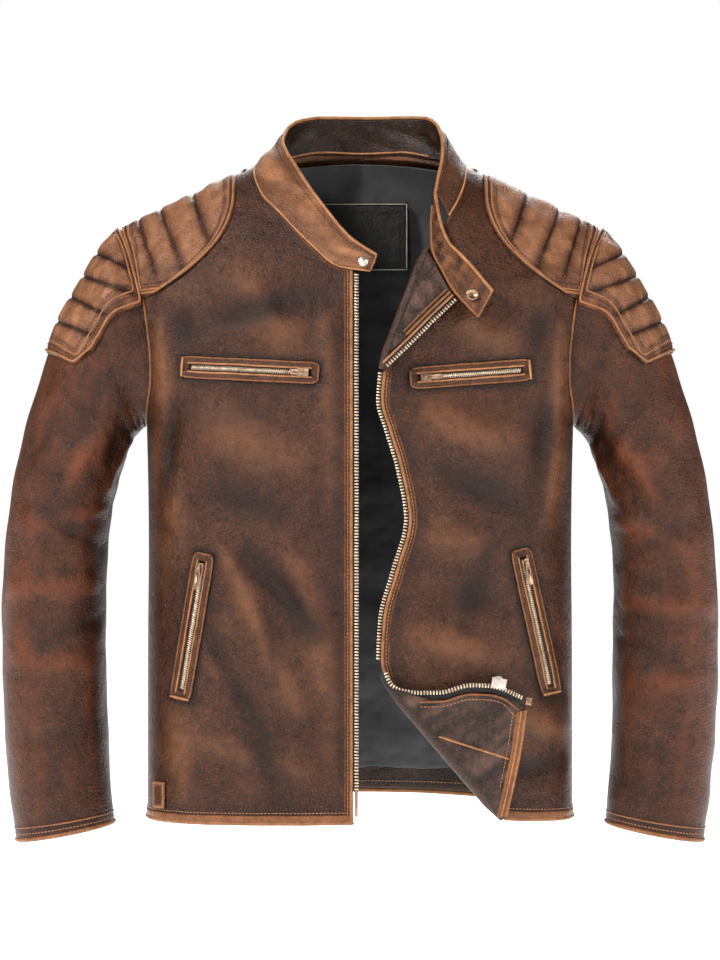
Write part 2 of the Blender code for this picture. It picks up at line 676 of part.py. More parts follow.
def stud(name, radius, height, base, normal, material):
    """A low domed cap: a turned profile."""
    profile = ((0.0, 1.0), (0.45, 0.96), (0.8, 0.72), (1.0, 0.35), (1.0, 0.0), (0.0, 0.0))
    mesh = bpy.data.meshes.new(name)
    mesh.from_pydata([(radius * r, 0, height * h) for r, h in profile], [(i, i + 1) for i in range(5)], [])
    made = add(name, mesh, material)
    made.matrix_world = axes(base, normal.orthogonal(), normal)
    turned = made.modifiers.new("turned", "SCREW")
    turned.steps = 16
    turned.render_steps = 16
    turned.merge_threshold = 0.00005
    turned.use_merge_vertices = True
    return made


SNAP_AT = (0.1076, -0.1020)
snap_lift = OUTER_LIFT + LEATHER + FACING + 0.0012
stud("collar_snap_cap", 0.0058, 0.0030, on_front(k(SNAP_AT[0]), SNAP_AT[1]) + Vector((0, -snap_lift, 0)), front_normal(*SNAP_AT), BRASS)
stud("collar_snap_stud", 0.0045, 0.0026, Vector((0.0030, -0.0994 * BODY_DEPTH_SCALE - 0.0030, -0.0690)), Vector((0, -1, 0.25)), BRASS)

# ---- side tab at the hem ----
tab_rows = rows_between(side([((0.2035, -0.5780), (0.1930, -0.5766)), ((0.2035, -0.6010), (0.1930, -0.6000))], -1), 3)
panel("side_tab", tab_rows, -(LAYER_GAP + 0.0022), 0.0022, TAN)


# ---- pocket zips ----
def lay(a, b, along, across):
    """A point on the front, at a share along the zip and a distance across it."""
    a, b = Vector(a), Vector(b)
    u = (b - a).normalized()
    p = a + (b - a) * along + Vector((-u.y, u.x)) * across
    return on_front(p.x, p.y)


def cut(target, name, matrix, size):
    cutter = box(name, size, matrix, BRASS, 0.0, CUTTERS)
    cutter.hide_render = True
    cutter.display_type = "WIRE"
    slot = target.modifiers.new("pocket_slot", "BOOLEAN")
    slot.operation = "DIFFERENCE"
    slot.solver = "EXACT"
    slot.object = cutter


for name, (start, end, pull_length) in POCKETS.items():
    a, b = Vector((k(start[0]), start[1])), Vector((k(end[0]), end[1]))
    length = (b - a).length
    side_word = name.split("_")[1]
    target = front_right if side_word == "right" else front_left
    half_slot, half_welt = SLOT_WIDTH / 2, SLOT_WIDTH / 2 + WELT_WIDTH
    over_end = WELT_END / length
    ts = [-over_end, -0.0005 / length] + [i / 6 for i in range(1, 6)] + [1 + 0.0005 / length, 1 + over_end]
    rows = [[lay(a, b, t, w) for w in (-half_welt, -half_slot, half_slot, half_welt)] for t in ts]
    gone = {(j, 1) for j in range(1, len(ts) - 2)}
    panel(f"{name}_pocket_welt", rows, -(LAYER_GAP + 0.0014), 0.0014, TAN, holes=gone)
    rows = [[lay(a, b, t, w) for w in (-CHAIN_WIDTH / 2, 0, CHAIN_WIDTH / 2)] for t in [0.01 + 0.98 * i / 6 for i in range(7)]]
    panel(f"{name}_pocket_zip", rows, -0.0008, CHAIN_THICK, BRASS)
    deep = 0.110 if name.startswith("chest") else 0.085
    down = 1.0 if side_word == "right" else -1.0
    reach = [-0.010 + (deep + 0.010) * i / 5 for i in range(6)]
    rows = [[lay(a, b, 0.06 + 0.90 * i / 6, down * w) for w in reach] for i in range(7)]
    panel(f"{name}_pocket_bag", rows, POCKET_DEPTH, POCKETING, LINING_CLOTH)
    # slot through the leather
    middle = lay(a, b, 0.5, 0.0)
    line = lay(a, b, 1.0, 0.0) - lay(a, b, 0.0, 0.0)
    n = front_normal(middle.x, middle.z)
    cut(target, f"{name}_slot", axes(middle, line, n), (length, SLOT_WIDTH + 0.0015, 0.030))
    # slider and pull
    seat = lay(a, b, SLIDER[1] * 0.55 / length, 0.0)
    n = (n - line.normalized() * n.dot(line.normalized())).normalized()
    frame_at = axes(seat + n * (SLIDER_RISE + SLIDER[2] / 2), line, n)
    box(f"{name}_slider", (SLIDER[1], SLIDER[0], SLIDER[2]), frame_at, BRASS, 0.0010)
    hinge = seat + n * (SLIDER_RISE + SLIDER[2] + 0.0006 + PULL_THICK / 2) - line.normalized() * 0.002
    pull = box(f"{name}_pull", (pull_length, PULL_WIDTH, PULL_THICK), axes(hinge, line, n), BRASS, 0.0004)
    for v in pull.data.vertices:
        v.co.x += pull_length / 2 - 0.0007

# ---- the front zip's slider, held on the folded hem corner, with its end box ----
slide_a, slide_b = (k(0.1190), -0.4773), (k(0.1349), -0.4806)
line = over(0)(*slide_b) - over(0)(*slide_a)
seat = over(FLAP_ZIP_TOP + 0.0008)(0.1329, -0.4785)
n = front_normal(0.1300, -0.4790)
n = (n - line.normalized() * n.dot(line.normalized())).normalized()
box("front_zip_slider", (0.0150, 0.0100, 0.0030), axes(seat + n * 0.0025 + Vector((0, 0, 0.004)), line, n), NICKEL, 0.0010)
pull_at = over(OUTER_LIFT * 0.5)(0.1329, -0.4780)
box("front_zip_pull", (0.0070, 0.0160, 0.0014), axes(pull_at, line, n), NICKEL, 0.0004)
end_at = over(OUTER_LIFT + 0.0010 + CHAIN_THICK / 2)(k(0.1600) + 0.0030, -0.4948)
box("front_zip_end_box", (0.0060, 0.0070, 0.0026), axes(end_at, line, n), BRASS, 0.0006)
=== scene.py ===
"""Looks of the leather riding jacket: fine leather, lining, zips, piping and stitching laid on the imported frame.

Metres, +Z up, the front faces -Y and the wearer's left is +X. Every panel is a patch of one body surface.
"""

import logging
import math
from collections.abc import Callable, Sequence
from dataclasses import dataclass, field
from enum import Enum

import bmesh
import bpy
import numpy as np
from mathutils import Matrix, Vector


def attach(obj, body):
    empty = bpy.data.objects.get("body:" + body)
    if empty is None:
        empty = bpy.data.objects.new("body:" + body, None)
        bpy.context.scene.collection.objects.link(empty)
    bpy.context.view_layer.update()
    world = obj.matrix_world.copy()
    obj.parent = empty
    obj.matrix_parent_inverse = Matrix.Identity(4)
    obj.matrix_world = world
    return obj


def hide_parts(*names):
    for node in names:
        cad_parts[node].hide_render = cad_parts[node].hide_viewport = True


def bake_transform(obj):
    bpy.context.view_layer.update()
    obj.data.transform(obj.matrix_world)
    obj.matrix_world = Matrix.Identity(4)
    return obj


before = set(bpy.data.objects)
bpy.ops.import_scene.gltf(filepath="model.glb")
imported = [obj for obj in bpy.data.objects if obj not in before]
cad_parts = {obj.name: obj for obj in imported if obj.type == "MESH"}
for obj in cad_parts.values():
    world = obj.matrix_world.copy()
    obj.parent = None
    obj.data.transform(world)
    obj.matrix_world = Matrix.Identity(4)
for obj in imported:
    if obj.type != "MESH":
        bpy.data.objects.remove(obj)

log = logging.getLogger("riding_jacket")
Array = np.ndarray
Pair = tuple[tuple[float, float], tuple[float, float]]
FLOOR_HALF, FLOOR_Z = 6.0, -0.72
EYE_DISTANCE, EYE_HEIGHT, VIEW_HALF_HEIGHT = 3.0, -0.28, 0.48

# ---- driving sizes (metres) ----
LEATHER = 0.0018
LINING = 0.0010
LINING_DEPTH = 0.0062
FACING_DEPTH = 0.0028
YOKE_PAD = 0.0030
SLEEVE_PAD = 0.0042
SEAM_GAP = 0.0004
FOLD_RADIUS = 0.0050
STITCH_PITCH = 0.0036
TOOTH_PITCH = 0.0030
POCKET_TOOTH_PITCH = 0.0017
HEM_Z = -0.6130
FOLD_GAIN = 2.0
ZIP_EDGE_X = 0.0070
SECTION_POWER = 2.6
SHOULDER_POWER = 2.2
RIDGE_TOP, RIDGE_SLOPE = 0.084, 0.48
FRONT_ROUND, BACK_ROUND = 0.130, 0.080
CHEST_FLAT_X = (0.040, 0.172)
CHEST_FLAT_Z = (-0.178, 0.016, 0.045)


class Side(Enum):
    """The wearer's side of the jacket and its sign on X."""

    RIGHT = -1
    LEFT = 1

    @property
    def word(self) -> str:
        """The side's name in lower case."""
        return self.name.lower()


class Track:
    """A monotone cubic through a table's rows; each row is a place and one or more values."""

    def __init__(self, rows: Sequence[Sequence[float]] | Array) -> None:
        table = np.asarray(rows, float)
        self.at, self.values = table[:, 0], table[:, 1:]
        steps = np.diff(self.at)[:, None]
        rises = np.diff(self.values, axis=0) / steps
        product = rises[:-1] * rises[1:]
        total = rises[:-1] + rises[1:]
        safe = np.where(np.abs(total) < 1e-12, 1.0, total)
        inner = np.where(product <= 0, 0.0, 2 * product / safe)
        self.slopes = np.vstack([rises[:1], inner, rises[-1:]])

    def __call__(self, t: Array | float) -> Array:
        """The values at t, one row of them for each place asked."""
        t = np.clip(np.asarray(t, float), self.at[0], self.at[-1])
        i = np.clip(np.searchsorted(self.at, t, side="right") - 1, 0, len(self.at) - 2)
        h = (self.at[i + 1] - self.at[i])[..., None]
        s = ((t - self.at[i])[..., None]) / h
        made = (
            self.values[i] * (1 + 2 * s) * (1 - s) ** 2
            + h * self.slopes[i] * s * (1 - s) ** 2
            + self.values[i + 1] * s * s * (3 - 2 * s)
            + h * self.slopes[i + 1] * s * s * (s - 1)
        )
        return made[..., 0] if made.shape[-1] == 1 else made


HALF_WIDTH = Track((
    (-0.64, 0.2120), (-0.45, 0.2115), (-0.35, 0.2105), (-0.225, 0.2125), (-0.20, 0.2235),
    (-0.17, 0.2320), (-0.12, 0.2440), (-0.06, 0.2540), (0.0, 0.2600), (0.06, 0.2650),
))
FRONT_DEPTH = Track((
    (-0.64, 0.116), (-0.50, 0.113), (-0.40, 0.113), (-0.30, 0.119), (-0.22, 0.122),
    (-0.15, 0.117), (-0.10, 0.107), (-0.06, 0.094), (0.0, 0.077), (0.06, 0.066),
))
BACK_DEPTH = Track((
    (-0.64, 0.112), (-0.50, 0.106), (-0.40, 0.104), (-0.30, 0.110), (-0.20, 0.118),
    (-0.10, 0.116), (0.0, 0.104), (0.06, 0.098),
))
ARMHOLE = Track((
    (-0.225, 0.2125), (-0.205, 0.2080), (-0.185, 0.2042), (-0.165, 0.2039), (-0.135, 0.2067),
    (-0.103, 0.2121), (-0.068, 0.2224), (-0.0298, 0.2370),
))
ARMPIT_Z, SHOULDER_Z = -0.225, -0.0298
SLEEVE_SECTIONS = (
    (0.2520, -0.045, 0.2165, -0.2285, 0.080), (0.2720, -0.076, 0.2235, -0.2360, 0.078),
    (0.2970, -0.120, 0.2305, -0.2490, 0.074), (0.3180, -0.175, 0.2375, -0.2680, 0.070),
    (0.3350, -0.232, 0.2440, -0.2920, 0.066), (0.3470, -0.290, 0.2495, -0.3250, 0.062),
    (0.3545, -0.350, 0.2530, -0.3660, 0.059), (0.3580, -0.410, 0.2535, -0.4150, 0.057),
    (0.3575, -0.470, 0.2530, -0.4700, 0.055), (0.3550, -0.530, 0.2515, -0.5260, 0.053),
    (0.3505, -0.585, 0.2495, -0.5760, 0.051), (0.3435, -0.6385, 0.2455, -0.6205, 0.049),
)


@dataclass(frozen=True)
class Fold:
    """A soft ridge or valley along a line of the surface.

    Args:
        start: first end, as two surface coordinates.
        end: second end.
        width: distance at which it has mostly faded.
        height: how far it stands out, negative for a valley.
    """

    start: tuple[float, float]
    end: tuple[float, float]
    width: float
    height: float

    def lift(self, u: Array, v: Array) -> Array:
        """How far the fold moves the surface out at (u, v)."""
        du, dv = self.end[0] - self.start[0], self.end[1] - self.start[1]
        share = ((u - self.start[0]) * du + (v - self.start[1]) * dv) / max(1e-12, du * du + dv * dv)
        held = np.clip(share, 0, 1)
        gap = np.hypot(u - self.start[0] - held * du, v - self.start[1] - held * dv)
        taper = 0.35 + 0.65 * np.sin(np.pi * np.clip(0.08 + 0.84 * share, 0, 1))
        return self.height * taper * np.exp(-((gap / self.width) ** 2))


FRONT_FOLDS = (
    Fold((-0.130, -0.350), (-0.060, -0.500), 0.011, 0.0034), Fold((-0.112, -0.345), (-0.040, -0.430), 0.013, -0.0034),
    Fold((-0.062, -0.360), (-0.030, -0.480), 0.013, 0.0030), Fold((-0.165, -0.530), (-0.050, -0.560), 0.012, 0.0020),
    Fold((-0.200, -0.240), (-0.176, -0.330), 0.011, 0.0030), Fold((-0.182, -0.215), (-0.190, -0.300), 0.009, -0.0028),
    Fold((-0.196, -0.130), (-0.190, -0.230), 0.008, 0.0030), Fold((-0.176, -0.120), (-0.168, -0.150), 0.012, -0.0030),
    Fold((-0.120, -0.075), (-0.062, -0.150), 0.018, 0.0030), Fold((-0.030, -0.098), (-0.150, -0.128), 0.014, -0.0030),
    Fold((-0.150, -0.230), (-0.060, -0.260), 0.020, 0.0022), Fold((-0.140, -0.290), (-0.070, -0.320), 0.017, -0.0024),
    Fold((-0.030, -0.120), (-0.024, -0.300), 0.010, 0.0024), Fold((-0.028, -0.420), (-0.022, -0.580), 0.010, 0.0020),
    Fold((-0.110, -0.480), (-0.080, -0.590), 0.014, -0.0022), Fold((-0.180, -0.500), (-0.170, -0.590), 0.012, 0.0022),
    Fold(
        (-0.090, -0.400), (-0.080, -0.470), 0.008, -0.0016,
    ), Fold((-0.150, -0.420), (-0.110, -0.500), 0.008, -0.0022),
    Fold((0.100, -0.130), (0.150, -0.150), 0.016, 0.0026), Fold((0.178, -0.115), (0.172, -0.150), 0.011, -0.0028),
    Fold((0.196, -0.130), (0.192, -0.230), 0.008, 0.0030), Fold((0.060, -0.215), (0.150, -0.245), 0.018, 0.0026),
    Fold((0.075, -0.270), (0.160, -0.310), 0.018, -0.0030), Fold((0.060, -0.330), (0.130, -0.345), 0.014, 0.0024),
    Fold((0.080, -0.385), (0.140, -0.400), 0.014, -0.0022), Fold((0.050, -0.430), (0.130, -0.450), 0.015, 0.0030),
    Fold((0.200, -0.230), (0.184, -0.320), 0.010, 0.0030), Fold((0.180, -0.210), (0.172, -0.290), 0.010, -0.0026),
    Fold((0.150, -0.505), (0.206, -0.530), 0.011, 0.0030), Fold((0.146, -0.560), (0.206, -0.555), 0.012, -0.0026),
    Fold((0.165, -0.470), (0.206, -0.500), 0.008, -0.0026), Fold((0.100, -0.420), (0.130, -0.340), 0.010, -0.0018),
)
BACK_FOLDS = (
    Fold((-0.120, -0.120), (-0.020, -0.180), 0.022, 0.0030), Fold((0.120, -0.120), (0.020, -0.180), 0.022, 0.0030),
    Fold((-0.170, -0.200), (-0.100, -0.300), 0.016, 0.0028), Fold((0.170, -0.200), (0.100, -0.300), 0.016, 0.0028),
    Fold((-0.090, -0.380), (0.080, -0.400), 0.016, 0.0024), Fold((-0.150, -0.460), (-0.020, -0.430), 0.014, -0.0022),
    Fold((0.160, -0.470), (0.030, -0.440), 0.014, -0.0022), Fold((-0.060, -0.500), (0.110, -0.530), 0.018, 0.0022),
    Fold((0.0, -0.200), (0.0, -0.320), 0.018, -0.0022), Fold((-0.185, -0.340), (-0.150, -0.450), 0.010, 0.0024),
)
# sleeve folds, as (angle in radians from the armpit side over the front, sections down the arm)
SLEEVE_FOLDS = (
    Fold((0.5, 5.6), (2.1, 6.6), 0.16, 0.0032), Fold((0.4, 6.6), (2.2, 6.0), 0.17, -0.0032),
    Fold((0.6, 7.4), (2.4, 7.6), 0.18, 0.0034), Fold((0.3, 8.0), (1.9, 8.6), 0.16, -0.0028),
    Fold((0.5, 8.9), (2.3, 8.7), 0.20, 0.0026), Fold((0.8, 9.9), (2.2, 10.2), 0.17, -0.0020),
    Fold((1.0, 3.6), (1.4, 5.4), 0.16, 0.0044), Fold((0.5, 1.6), (0.7, 4.2), 0.16, -0.0040),
    Fold((1.7, 4.2), (2.5, 5.6), 0.20, -0.0024), Fold((0.2, 2.6), (0.5, 5.0), 0.14, 0.0034),
    Fold((3.9, 5.8), (5.6, 6.6), 0.18, 0.0030), Fold((4.0, 7.1), (5.7, 7.3), 0.18, -0.0026),
    Fold((4.1, 8.3), (5.6, 8.0), 0.18, 0.0026), Fold((5.2, 1.8), (5.6, 4.4), 0.18, -0.0030),
)


def fade(t: Array | float) -> Array:
    """Smooth step of t held between 0 and 1."""
    t = np.clip(t, 0.0, 1.0)
    return t * t * (3 - 2 * t)


def ripple(u: Array, v: Array, seed: int, length: float, count: int = 9) -> Array:
    """Repeatable soft unevenness, about one unit high, from waves near one length."""
    pick = np.random.default_rng(seed)
    total = np.zeros(np.broadcast(u, v).shape)
    for _ in range(count):
        turn, phase = pick.uniform(0, 2 * math.pi, 2)
        wave = 2 * math.pi / (length * pick.uniform(0.6, 1.7))
        total += np.sin((u * math.cos(turn) + v * math.sin(turn)) * wave + phase)
    return total / math.sqrt(count)


def ridge(x: Array) -> Array:
    """Height of the shoulder line."""
    return RIDGE_TOP - RIDGE_SLOPE * np.abs(x)


def rounded(x: Array, z: Array, depths: Track, reach: float) -> Array:
    """Depth of a section at x, closing over the shoulder line."""
    side = np.minimum(1.0, np.abs(x) / HALF_WIDTH(z))
    across = (1 - side**SECTION_POWER) ** (1 / SECTION_POWER)
    t = np.clip((ridge(x) - z) / reach, 0, 1)
    up = (1 - (1 - t) ** SHOULDER_POWER) ** (1 / SHOULDER_POWER)
    return depths(z) * across * up


def calm(x: Array, z: Array) -> Array:
    """1 in the middle of a panel, 0 at the side seam and the shoulder."""
    side = fade((HALF_WIDTH(z) - np.abs(x)) / 0.014)
    return side * fade((ridge(x) - z) / 0.05)


def front_relief(x: Array, z: Array) -> Array:
    """Folds and unevenness of the front leather, outwards."""
    total = FOLD_GAIN * sum(fold.lift(x, z) for fold in FRONT_FOLDS)
    total = total + 0.00070 * ripple(x, z, 4, 0.045) + 0.00022 * ripple(x, z, 5, 0.018)
    return total * calm(x, z)


def back_relief(x: Array, z: Array) -> Array:
    """Folds and unevenness of the back leather, outwards."""
    total = FOLD_GAIN * sum(fold.lift(x, z) for fold in BACK_FOLDS)
    return (total + 0.00055 * ripple(x, z, 8, 0.055) + 0.0002 * ripple(x, z, 9, 0.02)) * calm(x, z)


def front_y(x: Array, z: Array) -> Array:
    """Y of the jacket's front surface without folds."""
    plain = rounded(x, z, FRONT_DEPTH, FRONT_ROUND)
    middle, half, soft = CHEST_FLAT_Z
    share = 1 - fade((np.abs(z - middle) - half) / soft)
    lo, hi = CHEST_FLAT_X
    a = rounded(np.full_like(z, lo), z, FRONT_DEPTH, FRONT_ROUND)
    b = rounded(np.full_like(z, hi), z, FRONT_DEPTH, FRONT_ROUND)
    flat = a + (b - a) * (np.abs(x) - lo) / (hi - lo)
    inside = (np.abs(x) > lo) & (np.abs(x) < hi)
    return -np.where(inside, plain + (flat - plain) * share, plain)


def on_front(x: Array, z: Array) -> Array:
    """Points on the folded front surface."""
    x, z = np.broadcast_arrays(np.asarray(x, float), np.asarray(z, float))
    return np.stack([x, front_y(x, z) - front_relief(x, z), z], -1)


def on_back(x: Array, z: Array) -> Array:
    """Points on the folded back surface."""
    x, z = np.broadcast_arrays(np.asarray(x, float), np.asarray(z, float))
    return np.stack([x, rounded(x, z, BACK_DEPTH, BACK_ROUND) + back_relief(x, z), z], -1)


def plain_front(x: Array, z: Array) -> Array:
    """Points on the front surface without folds."""
    x, z = np.broadcast_arrays(np.asarray(x, float), np.asarray(z, float))
    return np.stack([x, front_y(x, z), z], -1)


def over_front(lift: float) -> Callable[[Array, Array], Array]:
    """A surface that stands straight off the plain front by lift, for the turned-back flaps."""
    return lambda x, z: plain_front(x, z) + np.array([0.0, -lift, 0.0])


def unit(v: Array) -> Array:
    """Vectors made one long."""
    return v / np.maximum(1e-12, np.linalg.norm(v, axis=-1, keepdims=True))


def grid_normals(points: Array, closed: bool) -> Array:
    """Unit normals of a grid of points, columns across and rows up."""
    if closed:
        across = np.roll(points, -1, 1) - np.roll(points, 1, 1)
    else:
        across = np.gradient(points, axis=1)
    return unit(np.cross(across, np.gradient(points, axis=0)))


def facing(points: Array, normals: Array, towards: Array) -> Array:
    """The normals, turned so that the middle one points towards a direction."""
    j, i = points.shape[0] // 2, points.shape[1] // 2
    return normals if normals[j, i] @ towards > 0 else -normals


def surface_normals(surface: Callable[[Array, Array], Array], x: Array, z: Array, out: float) -> Array:
    """Unit normals of a surface at places on it, with Y of the given sign."""
    step = 0.0015
    dx = surface(x + step, z) - surface(x - step, z)
    dz = surface(x, z + step) - surface(x, z - step)
    n = unit(np.cross(dx, dz))
    return np.where((n[..., 1:2] * out) < 0, -n, n)


def lay_pairs(pairs: Sequence[Pair], surface: Callable, rows: int, columns: int, bias: bool = False) -> Array:
    """A fine grid of points on a surface, each row a straight run between a pair's two ends."""
    ends = np.array(pairs, float).reshape(len(pairs), 4)
    gaps = np.hypot(*np.diff(ends[:, :2], axis=0).T) + np.hypot(*np.diff(ends[:, 2:], axis=0).T)
    at = np.concatenate([[0.0], np.cumsum(np.maximum(gaps, 1e-5))])
    fine = Track(np.column_stack([at, ends]))(np.linspace(0, at[-1], rows))
    t = np.linspace(0, 1, columns)
    t = np.sin(t * math.pi / 2) if bias else t
    x = fine[:, 0:1] + (fine[:, 2:3] - fine[:, 0:1]) * t
    z = fine[:, 1:2] + (fine[:, 3:4] - fine[:, 1:2]) * t
    return surface(x, z)


def smooth_path(points: Sequence[Sequence[float]] | Array, step: float) -> Array:
    """A smooth line through points, sampled about every step."""
    points = np.asarray(points, float)
    at = np.concatenate([[0.0], np.cumsum(np.linalg.norm(np.diff(points, axis=0), axis=1))])
    count = max(2, int(round(at[-1] / step)) + 1)
    return Track(np.column_stack([at, points]))(np.linspace(0, at[-1], count))


def line_gap(u: Array, v: Array, lines: Sequence[Pair]) -> Array:
    """Distance to the nearest of several endless straight lines, each given by two points on it."""
    gaps = []
    for (au, av), (bu, bv) in lines:
        du, dv = bu - au, bv - av
        gaps.append(np.abs((u - au) * dv - (v - av) * du) / math.hypot(du, dv))
    return np.min(gaps, 0)


def side_step(path: Array, distance: float) -> Array:
    """A line beside a path in the (x, z) plane, to its left for a positive distance."""
    along = unit(np.gradient(path, axis=0))
    return path + np.column_stack([-along[:, 1], along[:, 0]]) * distance


# ---- mesh building ----
@dataclass
class Body:
    """One closed mesh under construction, made of several grids or tubes."""

    points: list[Array] = field(default_factory=list)
    faces: list[Array] = field(default_factory=list)
    # rub per point: real rub-off at edges together with painted highlights on fold ridges and pad pillows
    rub: list[Array] = field(default_factory=list)
    # painted shade per point: darkens fold valleys, seam and quilting hollows and panel borders
    dirt: list[Array] = field(default_factory=list)
    count: int = 0

    def add(self, points: Array, faces: Array, rub: Array | float = 0.0, dirt: Array | float = 0.0) -> None:
        """Adds a closed piece: points (N, 3), quads (M, 4), its rub-and-highlight value and its painted shade value.
        """
        n = len(points)
        self.points.append(points)
        self.faces.append(faces + self.count)
        for store, value in ((self.rub, rub), (self.dirt, dirt)):
            fits = np.size(value) in (1, n)
            store.append(np.broadcast_to(np.asarray(value, float).ravel(), (n,)) if fits else np.zeros(n))
        self.count += n


def wrap_quads(rows: int, columns: int, closed: bool) -> Array:
    """Quads of a grid numbered row by row."""
    wide = columns if closed else columns - 1
    j, i = np.meshgrid(np.arange(rows - 1), np.arange(wide), indexing="ij")
    k = (i + 1) % columns
    quads = np.stack([j * columns + i, j * columns + k, (j + 1) * columns + k, (j + 1) * columns + i], -1)
    return quads.reshape(-1, 4)


def rim_ring(rows: int, columns: int) -> Array:
    """Numbers of a grid's border, once round, in the direction of its quads."""
    low = np.arange(columns)
    east = np.arange(1, rows) * columns + columns - 1
    high = (rows - 1) * columns + np.arange(columns - 2, -1, -1)
    west = np.arange(rows - 2, 0, -1) * columns
    return np.concatenate([low, east, high, west])


def thick_grid(points: Array, normals: Array, thickness: float, closed: bool = False) -> tuple[Array, Array]:
    """A closed leather: the grid as its outer face, its inner face, and a rounded edge between them.

    Args:
        points: grid of the outer face, (rows, columns, 3).
        normals: outward unit normals of it.
        thickness: how far the inner face lies inwards.
        closed: True where the columns run once round a sleeve.

    Returns:
        The points (N, 3) and the quads (M, 4), facing out.
    """
    rows, columns = points.shape[:2]
    outer, inner = points.reshape(-1, 3), (points - normals * thickness).reshape(-1, 3)
    quads = wrap_quads(rows, columns, closed)
    n = len(outer)
    made_faces = [quads, quads[:, ::-1] + n]
    made_points = [outer, inner]
    if closed:
        rings = [np.arange(columns), (rows - 1) * columns + np.arange(columns)]
        outs = [unit(points[0] - points[1]), unit(points[-1] - points[-2])]
    else:
        ring = rim_ring(rows, columns)
        rings = [ring]
        flat_points, flat_normals = points.reshape(-1, 3)[ring], normals.reshape(-1, 3)[ring]
        along = np.roll(flat_points, -1, 0) - np.roll(flat_points, 1, 0)
        outs = [unit(np.cross(along, flat_normals))]
    total = 2 * n
    for which, (ring, out) in enumerate(zip(rings, outs)):
        m = len(ring)
        if not closed:
            out = np.where(((outer[ring] - outer.mean(0)) * out).sum(-1, keepdims=True).sum() < 0, -out, out)
        middle = (outer[ring] + inner[ring]) / 2 + out * thickness * 0.45
        made_points.append(middle)
        mid = total + np.arange(m)
        nxt = np.roll(np.arange(m), -1)
        upper = np.stack([ring[nxt], ring, mid, mid[nxt]], -1)
        lower = np.stack([mid[nxt], mid, ring + n, ring[nxt] + n], -1)
        if closed and which == 1:
            upper, lower = upper[:, ::-1], lower[:, ::-1]
        made_faces += [upper, lower]
        total += m
    faces = np.concatenate(made_faces)
    all_points = np.concatenate(made_points)
    return all_points, oriented(all_points, faces)


def oriented(points: Array, faces: Array) -> Array:
    """The quads turned over where the closed mesh would be inside out."""
    a, b, c, d = (points[faces[:, i]] for i in range(4))
    volume = (np.cross(a, b) * c).sum() + (np.cross(a, c) * d).sum()
    return faces if volume > 0 else faces[:, ::-1]


def tube_grid(path: Array, radius: Array | float, sides: int = 8) -> tuple[Array, Array]:
    """A closed round cord along a path, with drawn-in ends."""
    path = np.asarray(path, float)
    along = unit(np.gradient(path, axis=0))
    frame_x = np.zeros_like(path)
    seed = np.array([0.0, -1.0, 0.1])
    for i, t in enumerate(along):
        seed = seed - t * (seed @ t)
        seed = seed / max(1e-9, np.linalg.norm(seed))
        frame_x[i] = seed
    frame_y = np.cross(along, frame_x)
    radii = np.broadcast_to(np.asarray(radius, float), (len(path),))
    path = np.vstack([path[:1] - along[:1] * radii[0] * 0.6, path, path[-1:] + along[-1:] * radii[-1] * 0.6])
    frame_x = np.vstack([frame_x[:1], frame_x, frame_x[-1:]])
    frame_y = np.vstack([frame_y[:1], frame_y, frame_y[-1:]])
    radii = np.concatenate([[radii[0] * 0.35], radii, [radii[-1] * 0.35]])
    a = np.linspace(0, 2 * math.pi, sides, endpoint=False)
    ring = frame_x[:, None] * np.cos(a)[None, :, None] + frame_y[:, None] * np.sin(a)[None, :, None]
    points = path[:, None] + ring * radii[:, None, None]
    rows = len(path)
    quads = wrap_quads(rows, sides, True)
    flat = points.reshape(-1, 3)
    caps = []
    for row, turn in ((0, 1), (rows - 1, -1)):
        base = row * sides
        for i in range(1, sides - 2, 2):
            quad = [base, base + i, base + i + 1, base + i + 2][::-turn]
            caps.append(quad)
    faces = np.concatenate([quads, np.array(caps)])
    return flat, oriented(flat, faces)


def finished(name: str, body: Body, material: bpy.types.Material) -> bpy.types.Object:
    """A mesh object at the origin, smooth, with its rub-and-highlight and painted shade values as attributes."""
    points, faces = np.concatenate(body.points), np.concatenate(body.faces)
    mesh = bpy.data.meshes.new(name)
    mesh.vertices.add(len(points))
    mesh.vertices.foreach_set("co", points.astype(np.float32).ravel())
    mesh.loops.add(faces.size)
    mesh.loops.foreach_set("vertex_index", faces.astype(np.int32).ravel())
    mesh.polygons.add(len(faces))
    mesh.polygons.foreach_set("loop_start", np.arange(0, faces.size, 4, dtype=np.int32))
    mesh.update(calc_edges=True)
    for word, values in (("rub", body.rub), ("dirt", body.dirt)):
        attribute = mesh.attributes.new(word, "FLOAT", "POINT")
        attribute.data.foreach_set("value", np.concatenate(values).astype(np.float32))
    mesh.polygons.foreach_set("use_smooth", np.ones(len(faces), bool))
    mesh.materials.append(material)
    made = bpy.data.objects.new(name, mesh)
    bpy.context.scene.collection.objects.link(made)
    return made


def edge_wear(shape: tuple[int, int], reach: int, closed: bool = False) -> Array:
    """1 at a grid's border and 0 further in than reach cells."""
    rows, columns = shape
    j = np.minimum(np.arange(rows), np.arange(rows)[::-1])[:, None] * np.ones((1, columns))
    i = np.minimum(np.arange(columns), np.arange(columns)[::-1])[None, :] * np.ones((rows, 1))
    near = j if closed else np.minimum(i, j)
    return 1 - fade(near / reach)


def leather_piece(
    name: str, points: Array, out: Array, material: bpy.types.Material, thickness: float = LEATHER,
    inset: float = 0.0, closed: bool = False, rub: Array | float = 0.0, dirt: Array | float = 0.0,
) -> bpy.types.Object:
    """One leather or cloth panel, laid inset under its surface and given its thickness inwards."""
    normals = facing(points, grid_normals(points, closed), out)
    points = points - normals * inset
    flat, faces = thick_grid(points, normals, thickness, closed)
    body = Body()
    n = points.shape[0] * points.shape[1]
    rub_and_shade_values = []
    for value in (rub, dirt):
        one = np.broadcast_to(np.asarray(value, float), points.shape[:2]).ravel()
        rest = np.full(len(flat) - 2 * n, float(one.mean()))
        rub_and_shade_values.append(np.concatenate([one, one, rest]))
    body.add(flat, faces, *rub_and_shade_values)
    return finished(name, body, material)


